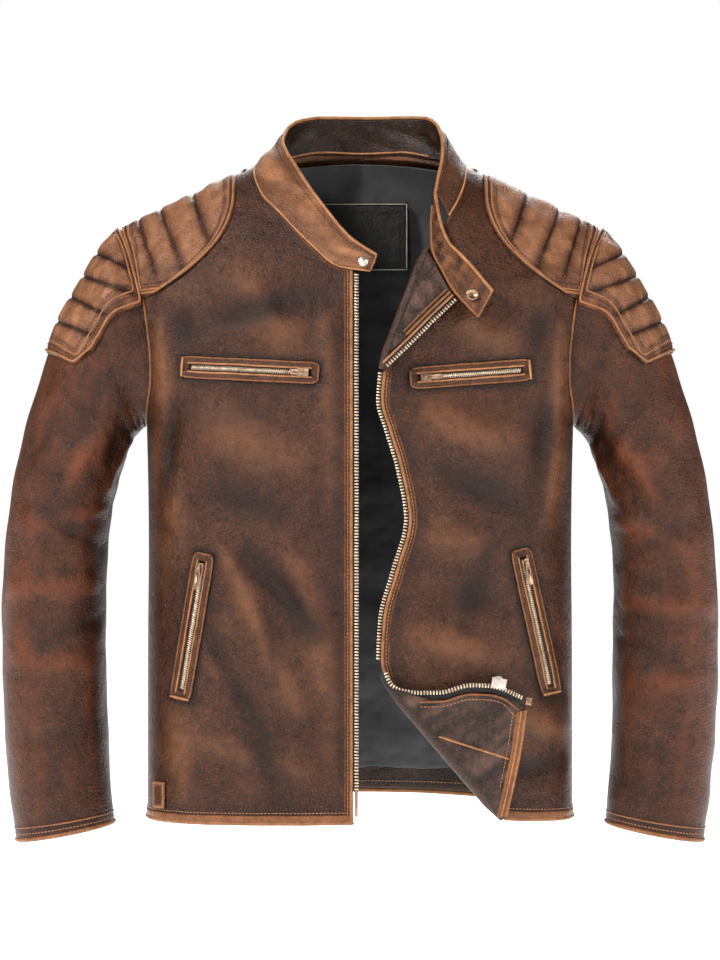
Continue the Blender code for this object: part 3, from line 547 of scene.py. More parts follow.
def stitch_run(
    name: str, runs: Sequence[Array], pitch: float, piece: bpy.types.Object, material: bpy.types.Material,
) -> bpy.types.Object:
    """Copies of one small piece along lines, by Geometry Nodes, then made into a plain mesh.

    Args:
        name: the finished piece's name.
        runs: lines as (N, 6) arrays, a point and the way the piece faces.
        pitch: distance between copies.
        piece: what is repeated, lying along X and facing Z.
        material: its finish.
    """
    mesh = bpy.data.meshes.new(name)
    spots, ups, alongs = [], [], []
    for run in runs:
        at = np.concatenate([[0.0], np.cumsum(np.linalg.norm(np.diff(run[:, :3], axis=0), axis=1))])
        count = max(2, int(at[-1] / pitch))
        places = (np.arange(count) + 0.5) * at[-1] / count
        fine = np.column_stack([np.interp(places, at, run[:, i]) for i in range(6)])
        ahead = np.column_stack([np.interp(places + pitch * 0.3, at, run[:, i]) for i in range(3)])
        behind = np.column_stack([np.interp(places - pitch * 0.3, at, run[:, i]) for i in range(3)])
        spots.append(fine[:, :3])
        ups.append(unit(fine[:, 3:]))
        alongs.append(unit(ahead - behind))
    mesh.from_pydata(np.concatenate(spots).tolist(), [], [])
    for word, values in (("up", ups), ("along", alongs)):
        mesh.attributes.new(word, "FLOAT_VECTOR", "POINT").data.foreach_set(
            "vector", np.concatenate(values).astype(np.float32).ravel(),
        )
    host = bpy.data.objects.new(name, mesh)
    bpy.context.scene.collection.objects.link(host)
    group = bpy.data.node_groups.new(f"{name}_repeat", "GeometryNodeTree")
    face = group.interface
    face.new_socket("Geometry", in_out="INPUT", socket_type="NodeSocketGeometry")
    for word, kind in (("Piece", "NodeSocketObject"), ("Finish", "NodeSocketMaterial"), ("Size", "NodeSocketFloat")):
        face.new_socket(word, in_out="INPUT", socket_type=kind)
    face.new_socket("Geometry", in_out="OUTPUT", socket_type="NodeSocketGeometry")
    start, end = group.nodes.new("NodeGroupInput"), group.nodes.new("NodeGroupOutput")

    def add(kind: str, settings: dict | None = None) -> bpy.types.Node:
        made = group.nodes.new(kind)
        for key, value in (settings or {}).items():
            setattr(made, key, value)
        return made

    vectors = {}
    for word in ("up", "along"):
        vectors[word] = add("GeometryNodeInputNamedAttribute", {"data_type": "FLOAT_VECTOR"})
        vectors[word].inputs["Name"].default_value = word
    stand = add("FunctionNodeAlignRotationToVector", {"axis": "Z"})
    turn = add("FunctionNodeAlignRotationToVector", {"axis": "X", "pivot_axis": "Z"})
    source = add("GeometryNodeObjectInfo")
    place = add("GeometryNodeInstanceOnPoints")
    realize = add("GeometryNodeRealizeInstances")
    paint = add("GeometryNodeSetMaterial")
    link = group.links.new
    link(vectors["up"].outputs[0], stand.inputs["Vector"])
    link(stand.outputs[0], turn.inputs["Rotation"])
    link(vectors["along"].outputs[0], turn.inputs["Vector"])
    link(start.outputs["Piece"], source.inputs["Object"])
    link(start.outputs["Geometry"], place.inputs["Points"])
    link(source.outputs["Geometry"], place.inputs["Instance"])
    link(turn.outputs[0], place.inputs["Rotation"])
    link(start.outputs["Size"], place.inputs["Scale"])
    link(place.outputs[0], realize.inputs[0])
    link(realize.outputs[0], paint.inputs["Geometry"])
    link(start.outputs["Finish"], paint.inputs["Material"])
    link(paint.outputs[0], end.inputs[0])
    modifier = host.modifiers.new("repeat", "NODES")
    modifier.node_group = group
    for item in face.items_tree:
        if item.name in ("Piece", "Finish", "Size"):
            modifier[item.identifier] = {"Piece": piece, "Finish": material, "Size": 1.0}[item.name]
    bpy.context.view_layer.update()
    graph = bpy.context.evaluated_depsgraph_get()
    baked = bpy.data.meshes.new_from_object(host.evaluated_get(graph))
    host.modifiers.clear()
    host.data = baked
    host.data.materials.clear()
    host.data.materials.append(material)
    return host


# ---- finishes ----
def linear(hex_colour: str) -> tuple[float, float, float, float]:
    """An sRGB hex colour as the linear colour that a shader takes."""
    parts = [int(hex_colour.lstrip("#")[i : i + 2], 16) / 255 for i in (0, 2, 4)]
    return (*(c / 12.92 if c <= 0.04045 else ((c + 0.055) / 1.055) ** 2.4 for c in parts), 1.0)


def put(tree: bpy.types.NodeTree, kind: str, settings: dict | None = None, **inputs) -> bpy.types.Node:
    """Adds a shader node.

    Args:
        tree: the material's node tree.
        kind: the node's type.
        settings: its own properties.
        inputs: values or output sockets for its inputs, by name with _ for a space, or iN for input N.
    """
    made = tree.nodes.new(kind)
    for key, value in (settings or {}).items():
        setattr(made, key, value)
    for key, value in inputs.items():
        by_number = key[0] == "i" and key[1:].isdigit()
        socket = made.inputs[int(key[1:]) if by_number else key.replace("_", " ")]
        if isinstance(value, bpy.types.NodeSocket):
            tree.links.new(value, socket)
        else:
            socket.default_value = value
    return made


@dataclass(frozen=True)
class LeatherFinish:
    """A waxed, hand-rubbed leather: its colours, its grain and its gloss, with painted shade in the grain's pits and
    the wide bump's hollows and painted glints on the grain's tops.

    Args:
        name: the material and how its surface was made.
        dark: colour of the painted shade in the grain's pits and in the wide bump's hollows.
        body: main colour.
        light: colour of the lighter patches.
        rubbed: colour where edges and pads are rubbed back, and the colour of the painted highlights on fold ridges,
            pad pillows and grain tops.
        rub_base: how rubbed it is all over, 0 to 1.
        grain: width of one pebble of the grain, in metres.
        relief: height of the grain, in metres.
        gloss: roughness of the wax.
    """

    name: str
    dark: str
    body: str
    light: str
    rubbed: str
    rub_base: float = 0.0
    grain: float = 0.0021
    relief: float = 0.0005
    gloss: float = 0.29

    def make(self) -> bpy.types.Material:
        """The material."""
        made = bpy.data.materials.new(self.name)
        made.use_nodes = True
        tree = made.node_tree
        shader = tree.nodes["Principled BSDF"]
        place = put(tree, "ShaderNodeTexCoord").outputs["Object"]
        rub = put(tree, "ShaderNodeAttribute", {"attribute_name": "rub"}).outputs["Fac"]
        dirt = put(tree, "ShaderNodeAttribute", {"attribute_name": "dirt"}).outputs["Fac"]
        cloud = put(
            tree, "ShaderNodeTexNoise", Vector=place, Scale=1 / 0.055, Detail=5.0, Roughness=0.62, Distortion=0.6,
        ).outputs["Fac"]
        patch = put(
            tree, "ShaderNodeTexNoise", Vector=place, Scale=1 / 0.012, Detail=6.0, Roughness=0.7,
        ).outputs["Fac"]
        pebble = put(
            tree, "ShaderNodeTexVoronoi", {"feature": "SMOOTH_F1"}, Vector=place, Scale=1 / self.grain,
            Smoothness=0.5, Randomness=1.0,
        ).outputs["Distance"]
        fine = put(
            tree, "ShaderNodeTexNoise", Vector=place, Scale=1 / (self.grain * 0.9), Detail=3.0, Roughness=0.7,
        ).outputs["Fac"]
        tone = put(tree, "ShaderNodeMapRange", i0=cloud, i1=0.40, i2=0.74, i3=0.0, i4=1.0).outputs[0]
        base = put(
            tree, "ShaderNodeMix", {"data_type": "RGBA"}, i0=tone, i6=linear(self.body), i7=linear(self.light),
        ).outputs[2]
        # painted shade in the wide bump's hollows: where the patch noise, which is also the wide bump's height, is
        # low, the colour goes towards the dark colour
        painted_hollow_shade = put(tree, "ShaderNodeMapRange", i0=patch, i1=0.30, i2=0.62, i3=0.55, i4=0.0).outputs[0]
        base = put(tree, "ShaderNodeMix", {"data_type": "RGBA"}, i0=painted_hollow_shade, i6=base, i7=linear(self.dark)).outputs[2]
        # painted shade in the grain's pits: where the fine noise, which also raises the grain bump, is low, the
        # colour goes towards the dark colour
        painted_pit_shade = put(tree, "ShaderNodeMapRange", i0=fine, i1=0.40, i2=0.60, i3=0.72, i4=-0.10).outputs[0]
        painted_pit_shade = put(tree, "ShaderNodeMath", {"operation": "MAXIMUM"}, i0=painted_pit_shade, i1=0.0).outputs[0]
        base = put(tree, "ShaderNodeMix", {"data_type": "RGBA"}, i0=painted_pit_shade, i6=base, i7=linear(self.dark)).outputs[2]
        # painted glint on the grain's tops: where the same fine noise is high, the colour goes towards the rubbed
        # colour
        high = put(tree, "ShaderNodeMapRange", i0=fine, i1=0.56, i2=0.76, i3=0.0, i4=0.30).outputs[0]
        base = put(tree, "ShaderNodeMix", {"data_type": "RGBA"}, i0=high, i6=base, i7=linear(self.rubbed)).outputs[2]
        # real rub-off plus painted highlight: the rub attribute also lights fold ridges and pad pillows, and the
        # patch noise, which is the wide bump's height, raises it on the bump's tops
        rub_and_highlight_mix = put(tree, "ShaderNodeMath", {"operation": "ADD"}, i0=rub, i1=self.rub_base).outputs[0]
        break_up = put(tree, "ShaderNodeMapRange", i0=patch, i1=0.30, i2=0.70, i3=0.55, i4=1.15).outputs[0]
        rub_and_highlight_mix = put(
            tree, "ShaderNodeMath", {"operation": "MULTIPLY", "use_clamp": True}, i0=rub_and_highlight_mix, i1=break_up,
        ).outputs[0]
        base = put(tree, "ShaderNodeMix", {"data_type": "RGBA"}, i0=rub_and_highlight_mix, i6=base, i7=linear(self.rubbed)).outputs[2]
        # painted shade: the colour goes towards near-black where the painted shade attribute is high
        painted_shade_mix = put(tree, "ShaderNodeMath", {"operation": "MULTIPLY", "use_clamp": True}, i0=dirt, i1=1.0).outputs[0]
        base = put(tree, "ShaderNodeMix", {"data_type": "RGBA"}, i0=painted_shade_mix, i6=base, i7=linear("#120a07")).outputs[2]
        tree.links.new(base, shader.inputs["Base Color"])
        rough = put(
            tree, "ShaderNodeMapRange", i0=patch, i1=0.25, i2=0.75, i3=self.gloss - 0.06, i4=self.gloss + 0.10,
        ).outputs[0]
        tree.links.new(rough, shader.inputs["Roughness"])
        height = put(tree, "ShaderNodeMath", {"operation": "MULTIPLY_ADD"}, i0=fine, i1=0.7, i2=pebble).outputs[0]
        bump = put(tree, "ShaderNodeBump", Height=height, Strength=0.9, Distance=self.relief).outputs[0]
        wide = put(tree, "ShaderNodeBump", Height=patch, Strength=0.7, Distance=0.0034, Normal=bump).outputs[0]
        tree.links.new(wide, shader.inputs["Normal"])
        shader.inputs["Specular IOR Level"].default_value = 0.25
        return made


@dataclass(frozen=True)
class ClothFinish:
    """A woven cloth with its thread pitch."""

    name: str
    dark: str
    light: str
    pitch: float
    rough: float = 0.75

    def make(self) -> bpy.types.Material:
        """The material."""
        made = bpy.data.materials.new(self.name)
        made.use_nodes = True
        tree = made.node_tree
        shader = tree.nodes["Principled BSDF"]
        place = put(tree, "ShaderNodeTexCoord").outputs["Object"]
        rib = put(
            tree, "ShaderNodeTexWave", {"bands_direction": "DIAGONAL"}, Vector=place, Scale=0.314 / self.pitch,
            Distortion=0.4, Detail=1.0,
        ).outputs["Fac"]
        slub = put(tree, "ShaderNodeTexNoise", Vector=place, Scale=1 / 0.03, Detail=5.0).outputs["Fac"]
        shade = put(tree, "ShaderNodeMath", {"operation": "MULTIPLY_ADD"}, i0=rib, i1=0.35, i2=slub).outputs[0]
        tone = put(tree, "ShaderNodeMapRange", i0=shade, i1=0.35, i2=1.0, i3=0.0, i4=1.0).outputs[0]
        colour = put(
            tree, "ShaderNodeMix", {"data_type": "RGBA"}, i0=tone, i6=linear(self.dark), i7=linear(self.light),
        ).outputs[2]
        tree.links.new(colour, shader.inputs["Base Color"])
        bump = put(tree, "ShaderNodeBump", Height=rib, Strength=0.3, Distance=0.0002).outputs[0]
        tree.links.new(bump, shader.inputs["Normal"])
        shader.inputs["Roughness"].default_value = self.rough
        shader.inputs["Sheen Weight"].default_value = 0.25
        shader.inputs["Sheen Roughness"].default_value = 0.5
        return made


@dataclass(frozen=True)
class MetalFinish:
    """A cast or stamped metal with tarnish in its hollows."""

    name: str
    bright: str
    tarnish: str
    rough: float
    metallic: float = 1.0

    def make(self) -> bpy.types.Material:
        """The material."""
        made = bpy.data.materials.new(self.name)
        made.use_nodes = True
        tree = made.node_tree
        shader = tree.nodes["Principled BSDF"]
        place = put(tree, "ShaderNodeTexCoord").outputs["Object"]
        stain = put(
            tree, "ShaderNodeTexNoise", Vector=place, Scale=1 / 0.004, Detail=6.0, Roughness=0.65,
        ).outputs["Fac"]
        tone = put(tree, "ShaderNodeMapRange", i0=stain, i1=0.42, i2=0.68, i3=0.0, i4=0.8).outputs[0]
        colour = put(
            tree, "ShaderNodeMix", {"data_type": "RGBA"}, i0=tone, i6=linear(self.bright), i7=linear(self.tarnish),
        ).outputs[2]
        tree.links.new(colour, shader.inputs["Base Color"])
        rough = put(
            tree, "ShaderNodeMapRange", i0=stain, i1=0.3, i2=0.7, i3=self.rough, i4=self.rough + 0.18,
        ).outputs[0]
        tree.links.new(rough, shader.inputs["Roughness"])
        shader.inputs["Metallic"].default_value = self.metallic
        return made


@dataclass
class Finishes:
    """Every material of the jacket."""

    brown: bpy.types.Material
    sleeve: bpy.types.Material
    pad: bpy.types.Material
    collar: bpy.types.Material
    piping: bpy.types.Material
    facing: bpy.types.Material
    inner_collar: bpy.types.Material
    patch: bpy.types.Material
    lining: bpy.types.Material
    tape: bpy.types.Material
    thread: bpy.types.Material
    dark_thread: bpy.types.Material
    brass: bpy.types.Material
    teeth: bpy.types.Material
    nickel: bpy.types.Material
    patch_edge: bpy.types.Material


def make_finishes() -> Finishes:
    """Makes the materials."""
    return Finishes(
        brown=LeatherFinish(
            "waxed_pebbled_brown_leather", "#0e0503", "#492716", "#653d28", "#95613f", relief=0.0008,
        ).make(),
        sleeve=LeatherFinish(
            "waxed_pebbled_sleeve_leather", "#0e0503", "#472614", "#643c28", "#8c4a29", relief=0.0008,
        ).make(),
        pad=LeatherFinish(
            "rubbed_quilted_tan_leather", "#1f0e08", "#5d311d", "#80492d", "#ad7753", 0.04, relief=0.0008, gloss=0.30,
        ).make(),
        collar=LeatherFinish(
            "rubbed_collar_leather", "#1c0c06", "#58301c", "#79482d", "#ae7650", 0.03, relief=0.0008, gloss=0.30,
        ).make(),
        piping=LeatherFinish(
            "burnished_edge_leather", "#34160a", "#6b3519", "#8f5230", "#c08658", 0.05, grain=0.0009, relief=0.0003,
            gloss=0.26,
        ).make(),
        facing=LeatherFinish(
            "dark_creased_facing_leather", "#1a110c", "#3d2a20", "#554035", "#76574a", relief=0.0008,
        ).make(),
        inner_collar=LeatherFinish(
            "dark_creased_collar_lining_leather", "#120b08", "#2e1f17", "#4a362b", "#6a4c3c",
        ).make(),
        patch=LeatherFinish(
            "black_waxed_patch_leather", "#131210", "#262420", "#35322d", "#4a463f", relief=0.0003, gloss=0.45,
        ).make(),
        lining=ClothFinish("charcoal_twill_lining", "#2a2a2b", "#48484a", 0.0006).make(),
        tape=ClothFinish("black_woven_zip_tape", "#0d0b0a", "#1c1815", 0.0006).make(),
        thread=MetalFinish("waxed_tan_thread", "#b98358", "#8a5836", 0.55, 0.0).make(),
        dark_thread=MetalFinish("waxed_brown_thread", "#2b1a12", "#1a100b", 0.6, 0.0).make(),
        brass=MetalFinish("aged_antique_brass", "#b8977a", "#5b4334", 0.30).make(),
        teeth=MetalFinish("aged_pale_zip_teeth", "#ecd9c0", "#a08468", 0.28).make(),
        nickel=MetalFinish("pale_satin_nickel", "#e8ddd2", "#b8a698", 0.35).make(),
        patch_edge=LeatherFinish(
            "burnished_patch_edge", "#4c4a45", "#8a857c", "#a09a90", "#b5afa4", relief=0.0001,
        ).make(),
    )


# ---- light, floor and camera ----
def studio() -> None:
    """Pale floor, soft boxes, pale surroundings and the camera."""
    scene = bpy.context.scene
    scene.view_settings.view_transform = "Standard"
    world = bpy.data.worlds.new("pale_studio")
    scene.world = world
    world.use_nodes = True
    tree = world.node_tree
    shine, path = tree.nodes["Background"], tree.nodes.new("ShaderNodeLightPath")
    shine.inputs["Color"].default_value = (1.0, 0.99, 0.97, 1.0)
    shine.inputs["Strength"].default_value = 0.10
    seen = tree.nodes.new("ShaderNodeBackground")
    seen.inputs["Color"].default_value = (1.0, 1.0, 1.0, 1.0)
    seen.inputs["Strength"].default_value = 1.0
    mix = tree.nodes.new("ShaderNodeMixShader")
    tree.links.new(path.outputs["Is Camera Ray"], mix.inputs[0])
    tree.links.new(shine.outputs[0], mix.inputs[1])
    tree.links.new(seen.outputs[0], mix.inputs[2])
    tree.links.new(mix.outputs[0], tree.nodes["World Output"].inputs[0])
    for name, at, aim, size, power in (
        ("key_box", (-1.5, -1.35, 1.6), (0.0, 0.0, -0.22), (0.45, 0.6), 66.0),
        ("fill_box", (1.8, -0.9, 0.5), (0.05, 0.0, -0.3), (0.4, 1.5), 20.0),
        ("low_box", (-0.5, -2.4, 0.3), (0.0, 0.0, -0.35), (0.6, 0.9), 9.0),
        ("back_box", (0.2, 2.2, 1.3), (0.0, 0.0, -0.2), (1.6, 1.2), 38.0),
    ):
        lamp = bpy.data.lights.new(name, "AREA")
        lamp.shape, lamp.size, lamp.size_y, lamp.energy = "RECTANGLE", size[0], size[1], power
        made = bpy.data.objects.new(name, lamp)
        scene.collection.objects.link(made)
        made.location = at
        made.rotation_euler = (Vector(aim) - Vector(at)).to_track_quat("-Z", "Y").to_euler()
    mesh = bpy.data.meshes.new("studio_floor")
    half, low = FLOOR_HALF, FLOOR_Z
    mesh.from_pydata(
        [(-half, -half, low), (half, -half, low), (half, half, low), (-half, half, low)], [], [(0, 1, 2, 3)],
    )
    ground = bpy.data.objects.new("studio_floor", mesh)
    scene.collection.objects.link(ground)
    pale = bpy.data.materials.new("pale_paper_floor")
    pale.use_nodes = True
    shader = pale.node_tree.nodes["Principled BSDF"]
    shader.inputs["Base Color"].default_value = (0.93, 0.93, 0.93, 1.0)
    shader.inputs["Roughness"].default_value = 0.9
    shader.inputs["Emission Color"].default_value = (1.0, 1.0, 1.0, 1.0)
    shader.inputs["Emission Strength"].default_value = 1.1
    mesh.materials.append(pale)
    lens = bpy.data.cameras.new("front_camera")
    lens.sensor_fit = "VERTICAL"
    lens.angle = 2 * math.atan(VIEW_HALF_HEIGHT / EYE_DISTANCE)
    eye = bpy.data.objects.new("front_camera", lens)
    scene.collection.objects.link(eye)
    eye.location = (0.0, -EYE_DISTANCE, EYE_HEIGHT)
    eye.rotation_euler = (math.pi / 2, 0.0, 0.0)
    scene.camera = eye


# ---- outlines on the surface, as (x, z) pairs: inner end, outer end ----
NECK = (
    (0.1065, 0.0328), (0.0962, -0.0003), (0.0781, -0.0205), (0.0583, -0.0420), (0.0368, -0.0630), (0.0193, -0.0750),
    (ZIP_EDGE_X, -0.0785),
)
NECK_OPEN = (
    (0.1065, 0.0328), (0.1040, 0.0130), (0.0968, -0.0056), (0.0868, -0.0234), (0.0775, -0.0375), (0.0676, -0.0530),
)
YOKE = (
    (0.1225, 0.0251), (0.1225, -0.0040), (0.1265, -0.0240), (0.1370, -0.0455), (0.1600, -0.0705), (0.1850, -0.0895),
    (0.2110, -0.1035),
)
BELOW = (-0.260, -0.300, -0.350, -0.400, -0.450, -0.500, -0.560)
ARM_ROWS = ((0.2067, -0.135), (0.2039, -0.165), (0.2045, -0.192), (0.2125, -0.225))
FREE_EDGE = (
    (0.0222, -0.1760), (0.0202, -0.2032), (0.0279, -0.2320), (0.0394, -0.2704), (0.0471, -0.3184), (0.0347, -0.3666),
    (0.0222, -0.4147), (0.0202, -0.4532), (0.0240, -0.4717),
)
LAPEL_TOP, LAPEL_END = (0.0676, -0.0530), (0.0210, -0.1748)
CORNER_TOP, CORNER_END = (0.0240, -0.4717), (0.1397, -0.6075)
YOKE_FRONT = (
    (
        (0.2060, -0.1012), (0.2120, -0.1020),
    ), ((0.1850, -0.0882), (0.2155, -0.0905)), ((0.1600, -0.0695), (0.2205, -0.0745)),
    (
        (0.1372, -0.0447), (0.2250, -0.0610),
    ), ((0.1268, -0.0235), (0.2295, -0.0485)), ((0.1229, -0.0040), (0.2335, -0.0390)),
    ((0.1229, 0.0120), (0.2352, -0.0345)), ((0.1229, 0.0215), (0.2362, -0.0314)),
)
COLLAR = (
    ((0.0095, -0.0775, 1), (0.0155, -0.101, -0.0624)), ((-0.0193, -0.0735, 1), (-0.0097, -0.092, -0.0450)),
    ((-0.0470, -0.0520, 1), (-0.0332, -0.076, -0.0162)), ((-0.0781, -0.0190, 1), (-0.0531, -0.055, 0.0120)),
    ((-0.0962, 0.0010, 1), (-0.0650, -0.034, 0.0325)), ((-0.1040, 0.0200, 1), (-0.0740, -0.015, 0.0480)),
    ((-0.1055, 0.0333, 1), (-0.0780, 0.003, 0.0600)), ((-0.0970, 0.0350, -1), (-0.0750, 0.024, 0.0730)),
    ((-0.0800, 0.0395, -1), (-0.0640, 0.044, 0.0835)), ((-0.0450, 0.0470, -1), (-0.0400, 0.062, 0.0892)),
    ((0.0, 0.0498, -1), (0.0, 0.070, 0.0900)), ((0.0450, 0.0470, -1), (0.0420, 0.063, 0.0892)),
    ((0.0800, 0.0395, -1), (0.0680, 0.047, 0.0870)), ((0.0970, 0.0350, -1), (0.0790, 0.026, 0.0780)),
    ((0.1055, 0.0333, 1), (0.0832, 0.003, 0.0600)), ((0.1035, 0.0150, 1), (0.0820, -0.018, 0.0410)),
    ((0.0968, -0.0040, 1), (0.0775, -0.038, 0.0200)), ((0.0868, -0.0218, 1), (0.0740, -0.055, 0.0018)),
)
LAPEL = (
    (
        (0.0655, -0.0605), (0.0712, -0.0700),
    ), ((0.0640, -0.0645), (0.0760, -0.0790)), ((0.0595, -0.0760), (0.0845, -0.0950)),
    (
        (0.0545, -0.0890), (0.0878, -0.1018),
    ), ((0.0465, -0.1100), (0.0706, -0.1185)), ((0.0397, -0.1280), (0.0530, -0.1350)),
    ((0.0290, -0.1520), (0.0300, -0.1560)),
)
CORNER = (
    (
        (0.0300, -0.4800), (0.0420, -0.4830),
    ), ((0.0475, -0.4985), (0.0768, -0.4914)), ((0.0661, -0.5202), (0.1057, -0.4850)),
    (
        (0.0846, -0.5419), (0.1349, -0.4884),
    ), ((0.1031, -0.5636), (0.1600, -0.5030)), ((0.1193, -0.5827), (0.1545, -0.5400)),
    ((0.1309, -0.5962), (0.1470, -0.5760)), ((0.1384, -0.6051), (0.1415, -0.6000)),
)
TAB_START = (0.0752, -0.0100)
TAB = (
    ((0.0705, -0.0120), TAB_START), ((0.0690, -0.0340), (0.0772, -0.0245)),
    ((0.0690, -0.0500), (0.0806, -0.0380)), ((0.0712, -0.0620), (0.0861, -0.0508)),
    ((0.0786, -0.0770), (0.0960, -0.0615)), ((0.0890, -0.0962), (0.1071, -0.0735)),
    ((0.1010, -0.1100), (0.1180, -0.0870)), ((0.1133, -0.1234), (0.1271, -0.0980)),
)
CORNER_ZIP = (
    (0.0240, -0.4640), (0.0300, -0.4760), (0.0383, -0.4813), (0.0570, -0.4840), (0.0768, -0.4838), (0.1057, -0.4772),
    (0.1220, -0.4778), (0.1349, -0.4806), (0.1570, -0.4905),
)
LAPEL_ZIP = ((0.0920, -0.1058), (0.0706, -0.1262), (0.0500, -0.1470), (0.0250, -0.1710))
PANEL_ROWS, PANEL_COLUMNS = 210, 84
OUTER_LIFT = 2 * FOLD_RADIUS
FACE_LIFT = OUTER_LIFT + LEATHER + 0.0024
SNAP_AT = (0.1076, -0.1020)
PATCH_AT, PATCH_SIZE = (0.0040, -0.0300), (0.0900, 0.0690, 0.0014)


@dataclass(frozen=True)
class PocketPlan:
    """A zipped welt pocket.

    Args:
        name: where it is.
        start: the slider's end of its zip, (x, z).
        end: the far end.
        pull: length of the pull.
        width: distance across the welts; not used.
    """

    name: str
    start: tuple[float, float]
    end: tuple[float, float]
    pull: float
    width: float = 0.0210


POCKETS = (
    PocketPlan("chest_right", (-0.0480, -0.1771), (-0.1645, -0.1707), 0.0150),
    PocketPlan("chest_left", (0.0570, -0.1820), (0.1566, -0.1737), 0.0190),
    PocketPlan("hand_right", (-0.1520, -0.3600), (-0.1733, -0.4850), 0.0230),
    PocketPlan("hand_left", (0.1570, -0.3560), (0.1850, -0.4810), 0.0230),
)


def signed(pairs: Sequence[Pair], side: Side) -> list[Pair]:
    """The pairs on one side of the jacket."""
    s = side.value
    return [((s * a[0], a[1]), (s * b[0], b[1])) for a, b in pairs]


def drawn_in(pairs: Sequence[Pair], inner: float, outer: float) -> list[Pair]:
    """The same rows, drawn in at both ends."""
    made = []
    for a, b in pairs:
        a, b = np.array(a), np.array(b)
        step = (b - a) / max(1e-9, np.linalg.norm(b - a))
        made.append((tuple(a + step * inner), tuple(b - step * outer)))
    return made


def right_pairs() -> list[Pair]:
    """Rows of the right front: the zip's edge to the yoke, armhole and side seam."""
    pairs = list(zip(NECK, YOKE)) + [((ZIP_EDGE_X, z), (x, z)) for x, z in ARM_ROWS]
    pairs += [((ZIP_EDGE_X, z), (float(HALF_WIDTH(z)), z)) for z in BELOW]
    return signed(pairs + [((ZIP_EDGE_X, HEM_Z + 0.003), (0.2121, HEM_Z))], Side.RIGHT)


def left_pairs() -> list[Pair]:
    """Rows of the left front: the lapel's fold, the free edge and the corner's fold to the side."""
    pairs = list(zip(NECK_OPEN, YOKE))
    pairs += [
        ((0.0530, -0.0911), YOKE[-1]), ((0.0400, -0.1251), (0.2067, -0.135)), ((0.0286, -0.1549), (0.2039, -0.165)),
    ]
    outer = (
        (0.2045, -0.192), (0.2125, -0.225), (0.2118, -0.250), (0.2110, -0.285), (0.2105, -0.330), (0.2106, -0.375),
        (0.2110, -0.420), (0.2113, -0.455), (0.2114, -0.480),
    )
    pairs += list(zip(FREE_EDGE, outer))
    pairs += [
        (
            (0.0471, -0.4988), (0.2115, -0.510),
        ), ((0.0703, -0.5260), (0.2116, -0.540)), ((0.0934, -0.5531), (0.2117, -0.565)),
        ((0.1166, -0.5803), (0.2119, -0.590)), (CORNER_END, (0.2121, HEM_Z)),
    ]
    return pairs


def tab_surface(x: Array, z: Array) -> Array:
    """The face of the collar's folded-out end, from the collar itself down to the top of the lapel."""
    lift = np.interp(z, [-0.062, -0.040, -0.010], [FACE_LIFT + 0.0006, 0.0085, -0.0035])
    return plain_front(x, z) - np.stack([np.zeros_like(lift), lift, np.zeros_like(lift)], -1)


def seam_dirt(x: Array, z: Array) -> Array:
    """Painted shade beside the pockets and in the valleys of the front folds, 0 to 1."""
    total = np.zeros(np.broadcast(x, z).shape)
    for plan in POCKETS:
        a, b = np.array(plan.start), np.array(plan.end)
        along = (b - a) / np.linalg.norm(b - a)
        u = (x - a[0]) * along[0] + (z - a[1]) * along[1]
        v = np.abs(-(x - a[0]) * along[1] + (z - a[1]) * along[0])
        past = np.maximum(0, np.maximum(-u - 0.010, u - np.linalg.norm(b - a) - 0.010))
        gap = np.hypot(past, np.maximum(0, v - 0.0105))
        total = np.maximum(total, 0.75 * np.exp(-((gap / 0.0045) ** 2)))
    valleys = sum(np.minimum(0, fold.lift(x, z)) for fold in FRONT_FOLDS)
    total = np.maximum(total, np.clip(-valleys / 0.0036, 0, 0.72))
    return total


def front_wear(points: Array) -> tuple[Array, Array]:
    """Rub and painted shade of a front panel from its folds, hem and edges: real rub at the border, painted highlight
    on fold ridges, painted shade beside the pockets, in fold valleys, in a band inside the border and towards the
    side seam.
    """
    x, z = points[..., 0], points[..., 2]
    height = sum(fold.lift(x, z) for fold in FRONT_FOLDS)
    # painted highlight on the fold ridges, plus random lighter patches
    rub = np.clip(height / 0.0075, 0, 0.34) + 0.10 * fade((ripple(x, z, 21, 0.06) - 0.2) / 1.2)
    border = edge_wear(points.shape[:2], 3)
    dirt = seam_dirt(x, z)
    # painted shade towards the side seam and in a band just inside the panel's border
    side = fade((np.abs(x) / HALF_WIDTH(z) - 0.90) / 0.10)
    ring = edge_wear(points.shape[:2], 9) * (1 - border)
    dirt = np.maximum(dirt, 0.50 * ring)
    dirt = np.maximum(dirt, 0.30 * side)
    return rub * (1 - ring) + 0.35 * border, dirt


def run_on(surface: Callable, path: Array, out: float, lift: float) -> Array:
    """A path in (x, z) laid on a surface and lifted, with the way it faces: (N, 6)."""
    x, z = path[:, 0], path[:, 1]
    n = surface_normals(surface, x, z, out)
    return np.column_stack([surface(x, z) + n * lift, n])


@dataclass
class Small:
    """The little pieces that are repeated: a stitch, a zip tooth and a pocket zip's tooth."""

    stitch: bpy.types.Object
    tooth: bpy.types.Object
    pocket_tooth: bpy.types.Object


def seed_piece(name: str, size: tuple[float, float, float], round_off: float, segments: int = 2) -> bpy.types.Object:
    """A small rounded block for repeating, kept out of the render."""
    mesh = bpy.data.meshes.new(name)
    block = bmesh.new()
    bmesh.ops.create_cube(block, size=1.0)
    bmesh.ops.scale(block, vec=size, verts=block.verts)
    bmesh.ops.bevel(block, geom=block.edges[:], offset=round_off, segments=segments, affect="EDGES", profile=0.6)
    block.to_mesh(mesh)
    block.free()
    mesh.polygons.foreach_set("use_smooth", np.ones(len(mesh.polygons), bool))
    made = bpy.data.objects.new(name, mesh)
    bpy.context.scene.collection.objects.link(made)
    made.hide_render = True
    made.hide_viewport = True
    return made


